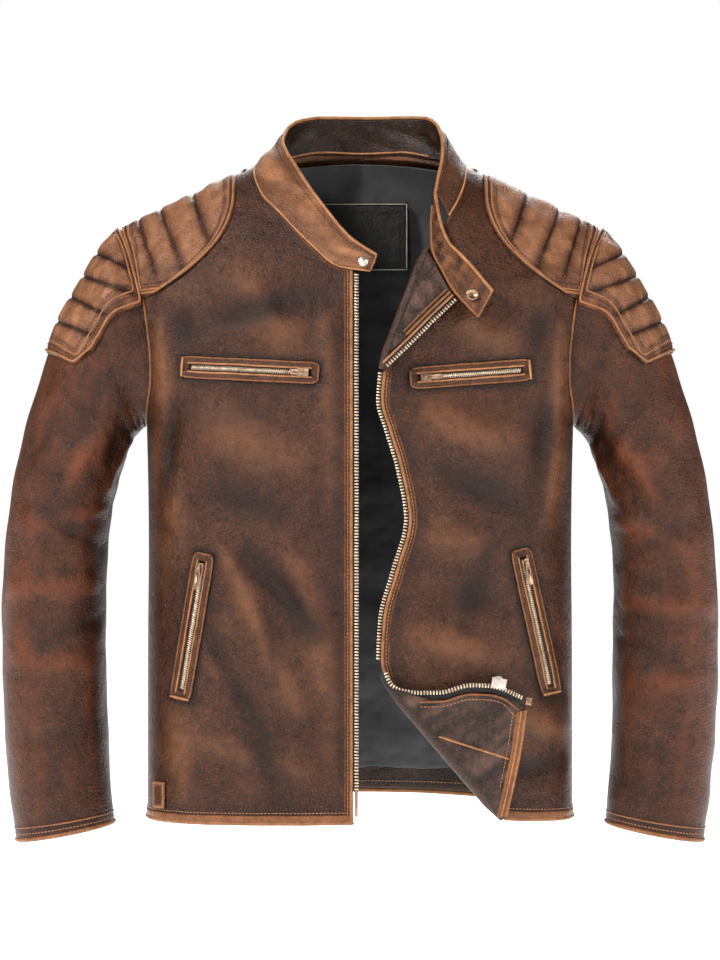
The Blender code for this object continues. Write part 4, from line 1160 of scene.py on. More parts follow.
def make_small() -> Small:
    """Makes the repeated pieces."""
    return Small(
        stitch=seed_piece("stitch_seed", (0.0026, 0.0008, 0.0007), 0.0003, 1),
        tooth=seed_piece("tooth_seed", (0.0017, 0.0042, 0.0020), 0.0004, 1),
        pocket_tooth=seed_piece("pocket_tooth_seed", (0.0010, 0.0034, 0.0014), 0.0003, 1),
    )


# ---- sub-assemblies ----
@dataclass
class Fronts:
    """The two front panels with their hem, their edges and the facings behind them."""

    looks: Finishes
    small: Small

    def build(self) -> None:
        """Makes and places every piece."""
        for side, pairs in ((Side.RIGHT, right_pairs()), (Side.LEFT, left_pairs())):
            points = lay_pairs(drawn_in(pairs, SEAM_GAP, SEAM_GAP), on_front, PANEL_ROWS, PANEL_COLUMNS, True)
            rub, dirt = front_wear(points)
            made = leather_piece(
                f"front_leather_{side.word}", points, np.array([0, -1, 0]), self.looks.brown, rub=rub, dirt=dirt,
            )
            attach(made, "jacket")
            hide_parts(f"front_panel_{side.word}")
            inner = [p[0] for p in pairs]
            hem_start, hem_end = pairs[-1]
            self.edging(side, inner, hem_start, hem_end)
        self.facings()

    def edging(self, side: Side, inner: list, hem_start: tuple, hem_end: tuple) -> None:
        """The turned edge beside the zip, the hem's turned strip, and their stitching."""
        edge = np.array([p for p in inner if p[1] < -0.076 and (side is Side.RIGHT or -0.475 < p[1] < -0.17)])
        path = smooth_path(edge, 0.003)
        inward = 1 if side is Side.LEFT else -1
        if path[0, 1] < path[-1, 1]:
            path = path[::-1]
        cord = Body()
        rim = run_on(on_front, side_step(path, 0.0014 * inward), -1, 0.0004)
        cord.add(*tube_grid(rim[:, :3], 0.00155), rub=0.5)
        second = run_on(on_front, side_step(path, 0.0075 * inward), -1, 0.0)
        cord.add(*tube_grid(second[:, :3], 0.0009), rub=0.1, dirt=0.25)
        hem_path = smooth_path([hem_start, hem_end], 0.003)
        hem_x = hem_start[0] + (hem_end[0] - hem_start[0]) * np.sin(np.linspace(0, math.pi / 2, 90))
        hem_z = np.interp(np.abs(hem_x), sorted((abs(hem_start[0]), abs(hem_end[0]))), (hem_start[1], hem_end[1]))
        hem_path = np.column_stack([hem_x, hem_z])
        low = on_front(hem_x, hem_z) + np.array([0, 0.0009, 0.0])
        cord.add(*tube_grid(low, 0.0021), rub=0.5)
        made = finished(f"front_edge_{side.word}", cord, self.looks.piping)
        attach(made, "jacket")
        band = np.stack([on_front(hem_x, hem_z + h) for h in (0.0070, 0.0052, 0.0034, 0.0012)])
        made = leather_piece(
            f"front_hem_band_{side.word}", band, np.array([0, -1, 0]), self.looks.piping, 0.0012, -0.0009, rub=0.25,
        )
        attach(made, "jacket")
        stitches = [
            run_on(on_front, side_step(path, 0.0048 * inward), -1, 0.0002),
            run_on(on_front, hem_path + np.array([0, 0.0098]), -1, 0.0002),
        ]
        made = stitch_run(
            f"front_stitching_{side.word}", stitches, STITCH_PITCH, self.small.stitch, self.looks.thread,
        )
        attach(made, "jacket")

    def facings(self) -> None:
        """The leather facings inside both front edges."""
        heights = (-0.090, -0.15, -0.22, -0.30, -0.38, -0.46, -0.54, HEM_Z + 0.006)
        right = [((-0.0430, z - 0.002), (-0.0075, z)) for z in heights]
        left = [((x + 0.0008, z), (x + 0.019, z - 0.002)) for x, z in FREE_EDGE]
        for side, pairs in ((Side.RIGHT, right), (Side.LEFT, left)):
            points = lay_pairs(pairs, on_front, 120, 14)
            made = leather_piece(
                f"front_facing_{side.word}", points, np.array([0, -1, 0]), self.looks.facing, 0.0013, FACING_DEPTH,
            )
            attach(made, "jacket")
            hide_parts(f"facing_{side.word}")


@dataclass
class Back:
    """The back panel, its hem, the lining and the blank patch inside the neck."""

    looks: Finishes
    small: Small

    ENDS = (
        (0.1060, 0.0326, 0.0500), (0.1218, 0.0250, 0.0440), (0.1222, 0.0120, 0.0340),
        (0.1224, -0.0040, 0.0200), (0.1262, -0.0240, 0.0), (0.1380, -0.0450, -0.0300),
        (0.2240, -0.0630, -0.0560), (0.2121, -0.103, -0.103), (0.2067, -0.135, -0.135),
        (0.2039, -0.165, -0.165), (0.2045, -0.192, -0.192), (0.2122, -0.225, -0.225),
    )

    def rows(self, rows: int, columns: int, low: float = HEM_Z, drop: float = 0.0) -> Array:
        """Grid of the back from its neck seam to a height."""
        ends = [*self.ENDS] + [(float(HALF_WIDTH(z)), z, z) for z in BELOW] + [(0.2122, low, low + 0.012)]
        steps = [max(0.004, abs(a[1] - b[1]) + abs(a[0] - b[0]) * 0.3) for a, b in zip(ends, ends[1:])]
        at = np.concatenate([[0], np.cumsum(steps)])
        fine = Track(np.column_stack([at, np.array(ends)]))(np.linspace(0, at[-1], rows))
        s = np.sin(np.linspace(-1, 1, columns) * math.pi / 2)[None, :]
        x = (fine[:, 0:1] - SEAM_GAP) * s
        z = fine[:, 1:2] + (fine[:, 2:3] - fine[:, 1:2]) * (1 - s * s) - drop
        return on_back(x, z)

    def build(self) -> None:
        """Makes and places every piece."""
        points = self.rows(210, 150)
        x, z = points[..., 0], points[..., 2]
        height = sum(fold.lift(x, z) for fold in BACK_FOLDS)
        # painted shade in a band inside the panel's border; painted highlight on the fold ridges, plus random lighter
        # patches
        ring = edge_wear(points.shape[:2], 8)
        rub = np.clip(height / 0.009, 0, 0.3) + 0.12 * fade(ripple(x, z, 31, 0.07))
        out = np.array([0, 1, 0])
        made = leather_piece("back_leather", points, out, self.looks.brown, rub=rub, dirt=0.45 * ring)
        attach(made, "jacket")
        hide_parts("back_panel")
        cord = Body()
        hem = points[-1] + np.array([0, -0.0009, 0])
        cord.add(*tube_grid(hem[::2], 0.0022), rub=0.5)
        made = finished("back_hem_edge", cord, self.looks.piping)
        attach(made, "jacket")
        stitches = np.column_stack([points[-4], np.tile(out, (points.shape[1], 1))])
        inside = np.column_stack([points[-5] - np.array([0, 0.0048, 0]), np.tile(-out, (points.shape[1], 1))])
        made = stitch_run(
            "back_hem_stitching", [stitches, inside], STITCH_PITCH, self.small.stitch, self.looks.thread,
        )
        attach(made, "jacket")
        self.inside(points)

    def inside(self, points: Array) -> None:
        """The hem facing, the back lining and the patch."""
        band = points[-15:-1, 4:-4]
        made = leather_piece(
            "back_hem_facing", band, np.array([0, 1, 0]), self.looks.inner_collar, 0.0013, FACING_DEPTH,
            rub=edge_wear(band.shape[:2], 2) * 0.4,
        )
        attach(made, "jacket")
        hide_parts("hem_facing_back")
        lining = points[2:-10]
        x, z = lining[..., 0], lining[..., 2]
        drape = 0.0016 * ripple(x * 2.4, z * 0.5, 12, 0.050) + 0.0007 * ripple(x * 2, z, 13, 0.02)
        drape = drape * fade((HALF_WIDTH(z) - np.abs(x)) / 0.03) * fade((np.arange(len(lining))[:, None] - 4) / 20)
        lining = lining - np.array([0, 1, 0]) * np.maximum(-0.001, drape + 0.0010)[..., None]
        made = leather_piece(
            "back_lining", lining, np.array([0, 1, 0]), self.looks.lining, LINING, LINING_DEPTH - 0.001,
        )
        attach(made, "jacket")
        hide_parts("lining_back")
        for side, pairs in ((Side.RIGHT, right_pairs()), (Side.LEFT, left_pairs())):
            grid = lay_pairs(
                drawn_in(pairs[1:-1], 0.016 if side is Side.LEFT else 0.008, 0.001), on_front, 110, 40, True,
            )
            made = leather_piece(
                f"front_lining_{side.word}", grid, np.array([0, -1, 0]), self.looks.lining, LINING, LINING_DEPTH,
            )
            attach(made, "jacket")
            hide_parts(f"lining_front_{side.word}")
        self.patch()

    def patch(self) -> None:
        """The blank sewn patch: a soft tile, a raised pale edge and one line of stitches."""
        wide, high, thick = PATCH_SIZE
        corners_at = [(PATCH_AT[0] + sx * 0.045, PATCH_AT[1] + sz * 0.035) for sx in (-1, 1) for sz in (-1, 1)]
        y = float(min(on_back(*at)[1] for at in corners_at)) - LINING_DEPTH - LINING - 0.0052
        u, v = np.meshgrid(np.linspace(-0.5, 0.5, 44), np.linspace(-0.5, 0.5, 34))
        rim = np.maximum(np.abs(u), np.abs(v))
        depth = y - 0.0005 * ripple(u, v, 3, 0.6) * 0.4 + 0.0006 * fade((rim - 0.44) / 0.06)
        points = np.stack([PATCH_AT[0] + u * wide, depth, PATCH_AT[1] + v * high], -1)
        made = leather_piece("neck_patch", points, np.array([0, -1, 0]), self.looks.patch, thick)
        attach(made, "jacket")
        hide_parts("label_patch")
        def frame_line(inset: float) -> Array:
            a, b = wide / 2 - inset, high / 2 - inset
            corners = np.array([(-a, -b), (a, -b), (a, b), (-a, b), (-a, -b)])
            flat = np.vstack([np.linspace(p, q, 16) for p, q in zip(corners, corners[1:])])
            depth = np.full(len(flat), y - 0.0005)
            return np.column_stack([PATCH_AT[0] + flat[:, 0], depth, PATCH_AT[1] + flat[:, 1]])
        cord = Body()
        cord.add(*tube_grid(frame_line(0.0008), 0.0006), rub=0.9)
        made = finished("neck_patch_edge", cord, self.looks.patch_edge)
        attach(made, "jacket")
        line = frame_line(0.0085)
        run = np.column_stack([line, np.tile([0, -1, 0], (len(line), 1))])
        made = stitch_run("neck_patch_stitching", [run], 0.0030, self.small.stitch, self.looks.dark_thread)
        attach(made, "jacket")


@dataclass
class Shoulders:
    """The quilted yokes over the shoulders with their double-stitched borders."""

    looks: Finishes
    small: Small

    def grid(self, side: Side, rows: int = 90, columns: int = 96) -> Array:
        """The yoke's surface from its front tip over the shoulder line to the back."""
        fronts = np.array(signed(YOKE_FRONT, side), float).reshape(-1, 4)
        step = np.linspace(0, 1, len(fronts))
        track = Track(np.column_stack([step, fronts]))
        ends = track(np.linspace(0, 1, rows // 2) ** 0.8)
        t = np.linspace(0, 1, columns)[None, :]
        x = ends[:, 0:1] + (ends[:, 2:3] - ends[:, 0:1]) * t
        z = ends[:, 1:2] + (ends[:, 3:4] - ends[:, 1:2]) * t
        front_half = plain_front(x, z)
        top_x = x[-1]
        top = np.stack([top_x, np.zeros_like(top_x), ridge(top_x) - 0.0005], -1)[None]
        keep = ends[::-1][: rows // 3]
        xb = keep[:, 0:1] + (keep[:, 2:3] - keep[:, 0:1]) * t
        zb = keep[:, 1:2] + (keep[:, 3:4] - keep[:, 1:2]) * t
        back_half = np.stack([xb, rounded(xb, zb, BACK_DEPTH, BACK_ROUND), zb], -1)
        return np.concatenate([front_half, top, back_half])

    def build(self) -> None:
        """Makes and places both yokes."""
        for side in Side:
            points = self.grid(side)
            out = np.array([side.value * 0.3, -0.5, 0.8])
            normals = facing(points, grid_normals(points, False), out)
            normals = unit(normals + np.roll(normals, 1, 0) + np.roll(normals, -1, 0))
            x = np.abs(points[..., 0])
            seam = edge_wear(points.shape[:2], 4)
            gap = line_gap(x, points[..., 2], YOKE_QUILT)
            groove = np.exp(-((gap / 0.0017) ** 2))
            pillow = fade(gap / 0.011)
            inner = 1 - edge_wear(points.shape[:2], 12)
            wrinkle = 0.0007 * ripple(x * 1.2 + points[..., 2] * 0.6, points[..., 2] * 0.5, 41 + side.value, 0.016)
            lift = YOKE_PAD + (0.0007 * pillow - 0.0020 * groove + wrinkle) * inner - 0.0012 * seam
            placed = points + normals * lift[..., None]
            # painted highlight on the quilt's pillows, plus random lighter patches; painted shade in the quilting
            # grooves and in a band inside the border piping
            rub = np.clip(0.55 * pillow * inner + 0.25 * fade(ripple(x, points[..., 2], 51, 0.02)), 0, 1)
            dirt = np.clip(
                0.85 * groove * inner + 0.45 * np.exp(-(((edge_wear(points.shape[:2], 12) - 0.28) / 0.16) ** 2)), 0,
                0.9,
            )
            made = leather_piece(
                f"quilted_yoke_{side.word}", placed, out, self.looks.pad, LEATHER, rub=rub, dirt=dirt,
            )
            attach(made, "jacket")
            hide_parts(f"shoulder_yoke_{side.word}")
            self.border(side, points, normals)

    def border(self, side: Side, points: Array, normals: Array) -> None:
        """Two rows of piping and two of stitches round the yoke."""
        cord = Body()
        runs = []
        for inset, radius in ((0.0006, 0.0013), (0.0064, 0.0011)):
            rows, columns = points.shape[:2]
            cells_j = max(1, int(inset / 0.0022))
            cells_i = max(1, int(inset / 0.0011))
            part = points[cells_j : rows - cells_j, cells_i : columns - cells_i]
            part_n = normals[cells_j : rows - cells_j, cells_i : columns - cells_i]
            loop = rim_ring(*part.shape[:2])
            line = (part + part_n * (YOKE_PAD - 0.0002)).reshape(-1, 3)[loop]
            line = soften(line, 3)
            cord.add(*tube_grid(np.vstack([line, line[:1]]), radius), rub=0.55)
        for inset_j, inset_i in ((1, 3), (4, 9)):
            rows, columns = points.shape[:2]
            part = points[inset_j : rows - inset_j, inset_i : columns - inset_i]
            part_n = normals[inset_j : rows - inset_j, inset_i : columns - inset_i]
            loop = rim_ring(*part.shape[:2])
            line = (part + part_n * (YOKE_PAD + 0.0006)).reshape(-1, 3)[loop]
            runs.append(np.column_stack([soften(line, 3), part_n.reshape(-1, 3)[loop]]))
        made = finished(f"yoke_piping_{side.word}", cord, self.looks.piping)
        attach(made, "jacket")
        made = stitch_run(
            f"yoke_stitching_{side.word}", runs, STITCH_PITCH, self.small.stitch, self.looks.dark_thread,
        )
        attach(made, "jacket")


def soften(line: Array, times: int) -> Array:
    """A closed line with its sharp corners rounded."""
    for _ in range(times):
        line = (np.roll(line, 1, 0) + 2 * line + np.roll(line, -1, 0)) / 4
    return line


@dataclass
class Sleeves:
    """The sleeves, their linings, quilted caps and cuffs."""

    looks: Finishes
    small: Small
    BEND: tuple = ((0.2150, -0.2250), (0.2770, -0.2330))

    def control(self, side: Side, angles: Array, grow: float = SEAM_GAP) -> Array:
        """Rings of the sleeve at its sections, (13, angles, 3), starting at the armhole seam."""
        half, middle = (SHOULDER_Z - ARMPIT_Z) / 2, (SHOULDER_Z + ARMPIT_Z) / 2
        z = middle - half * np.cos(angles)
        x = ARMHOLE(z)
        y = np.where(np.sin(angles) >= 0, front_y(x, z), rounded(x, z, BACK_DEPTH, BACK_ROUND))
        rings = [np.stack([x + grow, y, z], -1)]
        for ox, oz, ix, iz, depth in SLEEVE_SECTIONS:
            mx, mz, ax, az = (ox + ix) / 2, (oz + iz) / 2, (ix - ox) / 2, (iz - oz) / 2
            rings.append(np.stack([mx + ax * np.cos(angles), -depth * np.sin(angles), mz + az * np.cos(angles)], -1))
        made = np.array(rings)
        made[..., 0] *= side.value
        return made

    def surface(self, side: Side, angles: Array, places: Array, folds: bool = True) -> tuple[Array, Array]:
        """Points and outward normals at places down the arm (rows) and angles round it (columns)."""
        rings = self.control(side, angles)
        flat = rings.reshape(len(rings), -1)
        made = Track(np.column_stack([np.arange(len(rings)), flat]))(places).reshape(len(places), len(angles), 3)
        closed = abs(angles[-1] - angles[0]) > 6.0
        normals = grid_normals(made, closed)
        centre = made.mean(1, keepdims=True) if closed else made.mean((0, 1), keepdims=True) * np.array([0.9, 0, 1])
        middle = (made - centre)[len(made) // 2, len(angles) // 2]
        normals = normals if (normals[len(made) // 2, len(angles) // 2] @ middle) > 0 else -normals
        if folds:
            made = made + normals * self.relief(side, angles[None, :], places[:, None])[..., None]
        return made, normals

    def relief(self, side: Side, a: Array, t: Array) -> Array:
        """Elbow creases and drag folds, outwards."""
        shift = 0.35 if side is Side.LEFT else 0.0
        total = sum(
            Fold((f.start[0], f.start[1] + shift), (f.end[0], f.end[1] + shift), f.width, f.height).lift(a, t * 1.0)
            for f in SLEEVE_FOLDS
        )
        total = total + 0.0006 * ripple(a * 0.9 * np.ones_like(t), t * 0.6, 61 + side.value, 0.9)
        ends = fade(t / 0.7) * fade((12.0 - t) / 0.8)
        return total * ends

    def build(self) -> None:
        """Makes and places both sleeves."""
        for side in Side:
            angles = np.linspace(0, 2 * math.pi, 128, endpoint=False)
            places = np.linspace(0, 12, 210)
            points, normals = self.surface(side, angles, places)
            a, t = angles[None, :], places[:, None]
            height = self.relief(side, a, t)
            outer = np.clip(-np.cos(a) * 0.5 + 0.1, 0, 1) * np.ones_like(t)
            # painted highlight on fold ridges, lighter towards the arm's outer side below the cap, random lighter
            # patches; painted shade in fold valleys, along the side next to the body, at the armhole seam and beside
            # the cuff
            rub = np.clip(
                height / 0.009, 0, 0.35,
            ) + 0.42 * outer**1.5 * fade(t / 3) + 0.1 * fade(ripple(a, t * 0.4, 71, 0.5))
            dirt = np.clip(
                -height / 0.0075, 0, 0.5,
            ) + 0.45 * np.exp(-(((a - 0.15) / 0.35) ** 2)) + 0.55 * np.exp(-((t / 0.18) ** 2))
            dirt = np.maximum(dirt, 0.5 * np.exp(-(((t - 11.80) / 0.12) ** 2)))
            flat, faces = thick_grid(points, normals, LEATHER, True)
            body = Body()
            rest = len(flat) - 2 * rub.size
            # the outer face keeps these values; the inner face gets an even painted shade and the rim an even rub
            body.add(
                flat, faces, np.concatenate([rub.ravel(), rub.ravel(), np.full(rest, 0.3)]),
                np.concatenate([dirt.ravel(), np.full(dirt.size, 0.5), np.zeros(rest)]),
            )
            made = finished(f"sleeve_leather_{side.word}", body, self.looks.sleeve)
            self.bend(made)
            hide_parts(f"sleeve_{side.word}")
            self.lining(side, angles)
            self.cuff(side, points, normals)
            self.cap(side)

    def bend(self, made: bpy.types.Object) -> None:
        """Bakes the piece's placement into its mesh."""
        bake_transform(made)

    def lining(self, side: Side, angles: Array) -> None:
        """The sleeve's lining."""
        angles = angles[::2]
        points, normals = self.surface(side, angles, np.linspace(0.05, 11.6, 100), False)
        flat, faces = thick_grid(points - normals * (LINING_DEPTH - 0.001), normals, LINING, True)
        body = Body()
        body.add(flat, faces)
        made = finished(f"sleeve_cloth_{side.word}", body, self.looks.lining)
        self.bend(made)
        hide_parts(f"sleeve_lining_{side.word}")

    def cuff(self, side: Side, points: Array, normals: Array) -> None:
        """The turned cuff edge, its stitches and the piped armhole seam."""
        cord = Body()
        for row, lift, radius in ((-1, -0.0006, 0.0022), (-5, 0.0, 0.0008)):
            ring = points[row] + normals[row] * lift
            cord.add(*tube_grid(np.vstack([ring, ring[:1]]), radius), rub=0.45)
        made = finished(f"cuff_edge_{side.word}", cord, self.looks.piping)
        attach(made, f"sleeve_{side.word}_arm")
        run = np.column_stack([points[-3], normals[-3]])
        made = stitch_run(f"cuff_stitching_{side.word}", [run], STITCH_PITCH, self.small.stitch, self.looks.thread)
        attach(made, f"sleeve_{side.word}_arm")
        ring = points[0] + normals[1] * 0.0002
        seam = Body()
        span = slice(0, 38)
        seam.add(*tube_grid(ring[span], 0.0013), rub=0.25)
        seam.add(*tube_grid(np.vstack([ring[88:], ring[:1]]), 0.0013), rub=0.25)
        made = finished(f"armhole_piping_{side.word}", seam, self.looks.piping)
        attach(made, "jacket")

    def cap(self, side: Side) -> None:
        """The quilted cap over the top of the sleeve."""
        angles = np.radians(np.linspace(CAP_ANGLES[0], CAP_ANGLES[1], 110))
        share = np.linspace(0, 1, 100)
        across = np.abs(np.linspace(-1, 1, 110))
        low_edge = CAP_LOW - 0.62 * across**2 - 0.55 * fade((across - 0.86) / 0.14)
        rings = self.control(side, angles)
        flat = rings.reshape(len(rings), -1)
        track = Track(np.column_stack([np.arange(len(rings)), flat]))
        table = track(np.linspace(0, 6, 301)).reshape(301, len(angles), 3)
        places = 0.10 + (low_edge - 0.10)[None, :] * share[:, None]
        at = places / 6 * 300
        i = np.clip(at.astype(int), 0, 299)
        j = np.arange(len(angles))[None, :]
        w = (at - i)[..., None]
        points = table[i, j] * (1 - w) + table[i + 1, j] * w
        out = np.array([side.value * 1.0, 0, 0.3])
        normals = facing(points, grid_normals(points, False), out)
        gap = line_gap(np.abs(points[..., 0]), points[..., 2], CAP_QUILT)
        inner = 1 - edge_wear(points.shape[:2], 10)
        groove = np.exp(-((gap / 0.0018) ** 2))
        pillow = fade(gap / 0.008)
        wrinkle = 0.0005 * ripple(share[:, None] * 4, across[None, :] * 5, 81 + side.value, 1.1)
        seam = edge_wear(points.shape[:2], 4)
        lift = 0.0006 + SLEEVE_PAD * 0.8 + (0.0007 * pillow - 0.0020 * groove + wrinkle) * inner - 0.0014 * seam
        # painted highlight on the quilt's pillows, plus random lighter patches; painted shade in the quilting grooves
        # and in a band inside the border piping
        rub = np.clip(
            0.5 * pillow * inner + 0.3 * fade(ripple(share[:, None] * 3, across[None, :] * 3, 91, 0.6)), 0, 1,
        )
        dirt = np.clip(
            0.85 * groove * inner + 0.4 * np.exp(-(((edge_wear(points.shape[:2], 12) - 0.28) / 0.16) ** 2)), 0, 0.9,
        )
        made = leather_piece(
            f"quilted_cap_{side.word}", points + normals * lift[..., None], out, self.looks.pad, SLEEVE_PAD * 0.55,
            rub=rub, dirt=dirt,
        )
        self.bend(made)
        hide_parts(f"sleeve_pad_{side.word}")
        cord = Body()
        runs = []
        for cells, radius in ((1, 0.0013), (6, 0.0010)):
            part, part_n = points[cells:-cells, cells:-cells], normals[cells:-cells, cells:-cells]
            loop = rim_ring(*part.shape[:2])
            line = soften((part + part_n * (SLEEVE_PAD * 0.8 + 0.0006)).reshape(-1, 3)[loop], 4)
            cord.add(*tube_grid(np.vstack([line, line[:1]]), radius), rub=0.55)
        for cells in (4, 9):
            part, part_n = points[cells:-cells, cells:-cells], normals[cells:-cells, cells:-cells]
            loop = rim_ring(*part.shape[:2])
            line = soften((part + part_n * (SLEEVE_PAD * 0.8 + 0.0014)).reshape(-1, 3)[loop], 4)
            runs.append(np.column_stack([line, part_n.reshape(-1, 3)[loop]]))
        made = finished(f"cap_piping_{side.word}", cord, self.looks.piping)
        self.bend(made)
        made = stitch_run(f"cap_stitching_{side.word}", runs, STITCH_PITCH, self.small.stitch, self.looks.dark_thread)
        self.bend(made)


CAP_ANGLES = (101.5, 258.5)
CAP_LOW = 3.62
YOKE_QUILT = (
    ((0.1628, -0.0070), (0.1482, -0.0441)), ((0.1950, -0.0197), (0.1755, -0.0645)),
    ((0.2155, -0.0333), (0.1980, -0.0821)),
)
CAP_QUILT = (
    ((0.2509, -0.0615), (0.2215, -0.0781)), ((0.2675, -0.0811), (0.2195, -0.1007)),
    ((0.2773, -0.1036), (0.2372, -0.1252)), ((0.2920, -0.1262), (0.2499, -0.1438)),
)


@dataclass
class Collar:
    """The standing collar: its leather, inner face, top piping and seam piping."""

    looks: Finishes
    small: Small

    def grid(self, low: float, high: float, rows: int = 40, columns: int = 260) -> Array:
        """The collar's outer face between two shares of its height."""
        feet, heads = [], []
        for (x, z, which), head in COLLAR:
            foot = plain_front(x, z) if which > 0 else on_back(x, z)
            feet.append(foot)
            heads.append(head)
        feet, heads = np.array(feet), np.array(heads)
        steps = sum(np.linalg.norm(np.diff(line, axis=0), axis=1) for line in (heads, feet))
        at = np.concatenate([[0], np.cumsum(steps)])
        fine = Track(np.column_stack([at, feet, heads]))(np.linspace(0, at[-1], columns))
        foot, head = fine[:, :3], fine[:, 3:]
        t = np.linspace(low, high, rows)[:, None, None]
        points = foot[None] + (head - foot)[None] * t
        out = unit(points * np.array([1, 1, 0]))
        u = np.linspace(0, 1, columns)[None, :, None]
        wave = 0.0012 * np.sin(math.pi * t) * ripple(u * 9 + t * 1.5, t * 1.2, 17, 1.0)
        return points + out * (0.0025 * np.sin(math.pi * t) + wave)

    def build(self) -> None:
        """Makes and places every piece."""
        points = self.grid(-0.02, 1.0)
        out = np.array([0.0, 1.0, 0.0])
        ring = edge_wear(points.shape[:2], 5)
        t = np.linspace(0, 1, points.shape[0])[:, None]
        u = np.linspace(0, 1, points.shape[1])[None, :]
        # lighter band along the middle of the collar's height, where it bulges: painted highlight, over random
        # lighter patches
        rub = 0.25 + 0.4 * fade(ripple(u * 10, t * 2, 23, 1.2)) + 0.2 * np.exp(-(((t - 0.55) / 0.2) ** 2))
        # painted shade: the collar's end on the wearer's left is darker and less lit, and a band inside its side and
        # lower borders is darker
        painted_shade_side = fade((u - 0.66) / 0.12)
        dirt = np.maximum(0.45 * ring * (t < 0.9), 0.55 * painted_shade_side * (1 - 0.5 * t))
        made = leather_piece(
            "collar_leather", points, out, self.looks.collar, LEATHER, rub=rub * (1 - 0.8 * painted_shade_side), dirt=dirt,
        )
        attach(made, "jacket")
        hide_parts("collar_shell")
        normals = facing(points, grid_normals(points, False), out)
        inner = self.grid(0.10, 0.97)
        u2, t2 = np.linspace(0, 1, inner.shape[1])[None, :], np.linspace(0, 1, inner.shape[0])[:, None]
        slant = np.sin((u2 * 95 + t2 * 2.6) * 1.0) * np.exp(-(((t2 - 0.5) / 0.28) ** 2))
        crease = 0.0009 * slant * fade(ripple(u2 * 6, t2, 27, 1.0) + 0.6)
        inner = inner + unit(inner * np.array([1, 1, 0])) * crease[..., None]
        # the inner face is lighter on the crests of its creases: painted highlight
        made = leather_piece(
            "collar_inner_face", inner, out, self.looks.inner_collar, 0.0013, LEATHER + 0.0016,
            rub=np.clip(-crease * 380, 0, 0.6),
        )
        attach(made, "jacket")
        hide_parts("collar_lining")
        cord = Body()
        top = points[-1] - normals[-1] * LEATHER * 0.8 + np.array([0, 0, 0.0006])
        top = np.vstack([top, smooth_path(np.vstack([top[-1], tab_surface(*TAB_START)]), 0.002)[1:]])
        cord.add(*tube_grid(top, 0.0019), rub=0.75)
        end = points[:, 0] - normals[:, 0] * LEATHER * 0.6
        cord.add(*tube_grid(end, 0.0013), rub=0.5)
        made = finished("collar_edge_piping", cord, self.looks.piping)
        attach(made, "jacket")
        seam = Body()
        foot = points[1] + normals[1] * 0.0006
        seam.add(*tube_grid(foot, 0.0010), rub=0.9)
        back = (inner[2] - normals[2] * (LEATHER + 0.0032))[70:190]
        seam.add(*tube_grid(back, 0.0010), rub=0.9)
        made = finished("collar_seam_piping", seam, self.looks.piping)
        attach(made, "jacket")
        line = np.column_stack([points[-7] + normals[-7] * 0.0002, normals[-7]])
        inside = np.column_stack([inner[-5] - normals[-7] * (LEATHER + 0.0030), -normals[-7]])
        made = stitch_run("collar_stitching", [line, inside], STITCH_PITCH, self.small.stitch, self.looks.dark_thread)
        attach(made, "jacket")


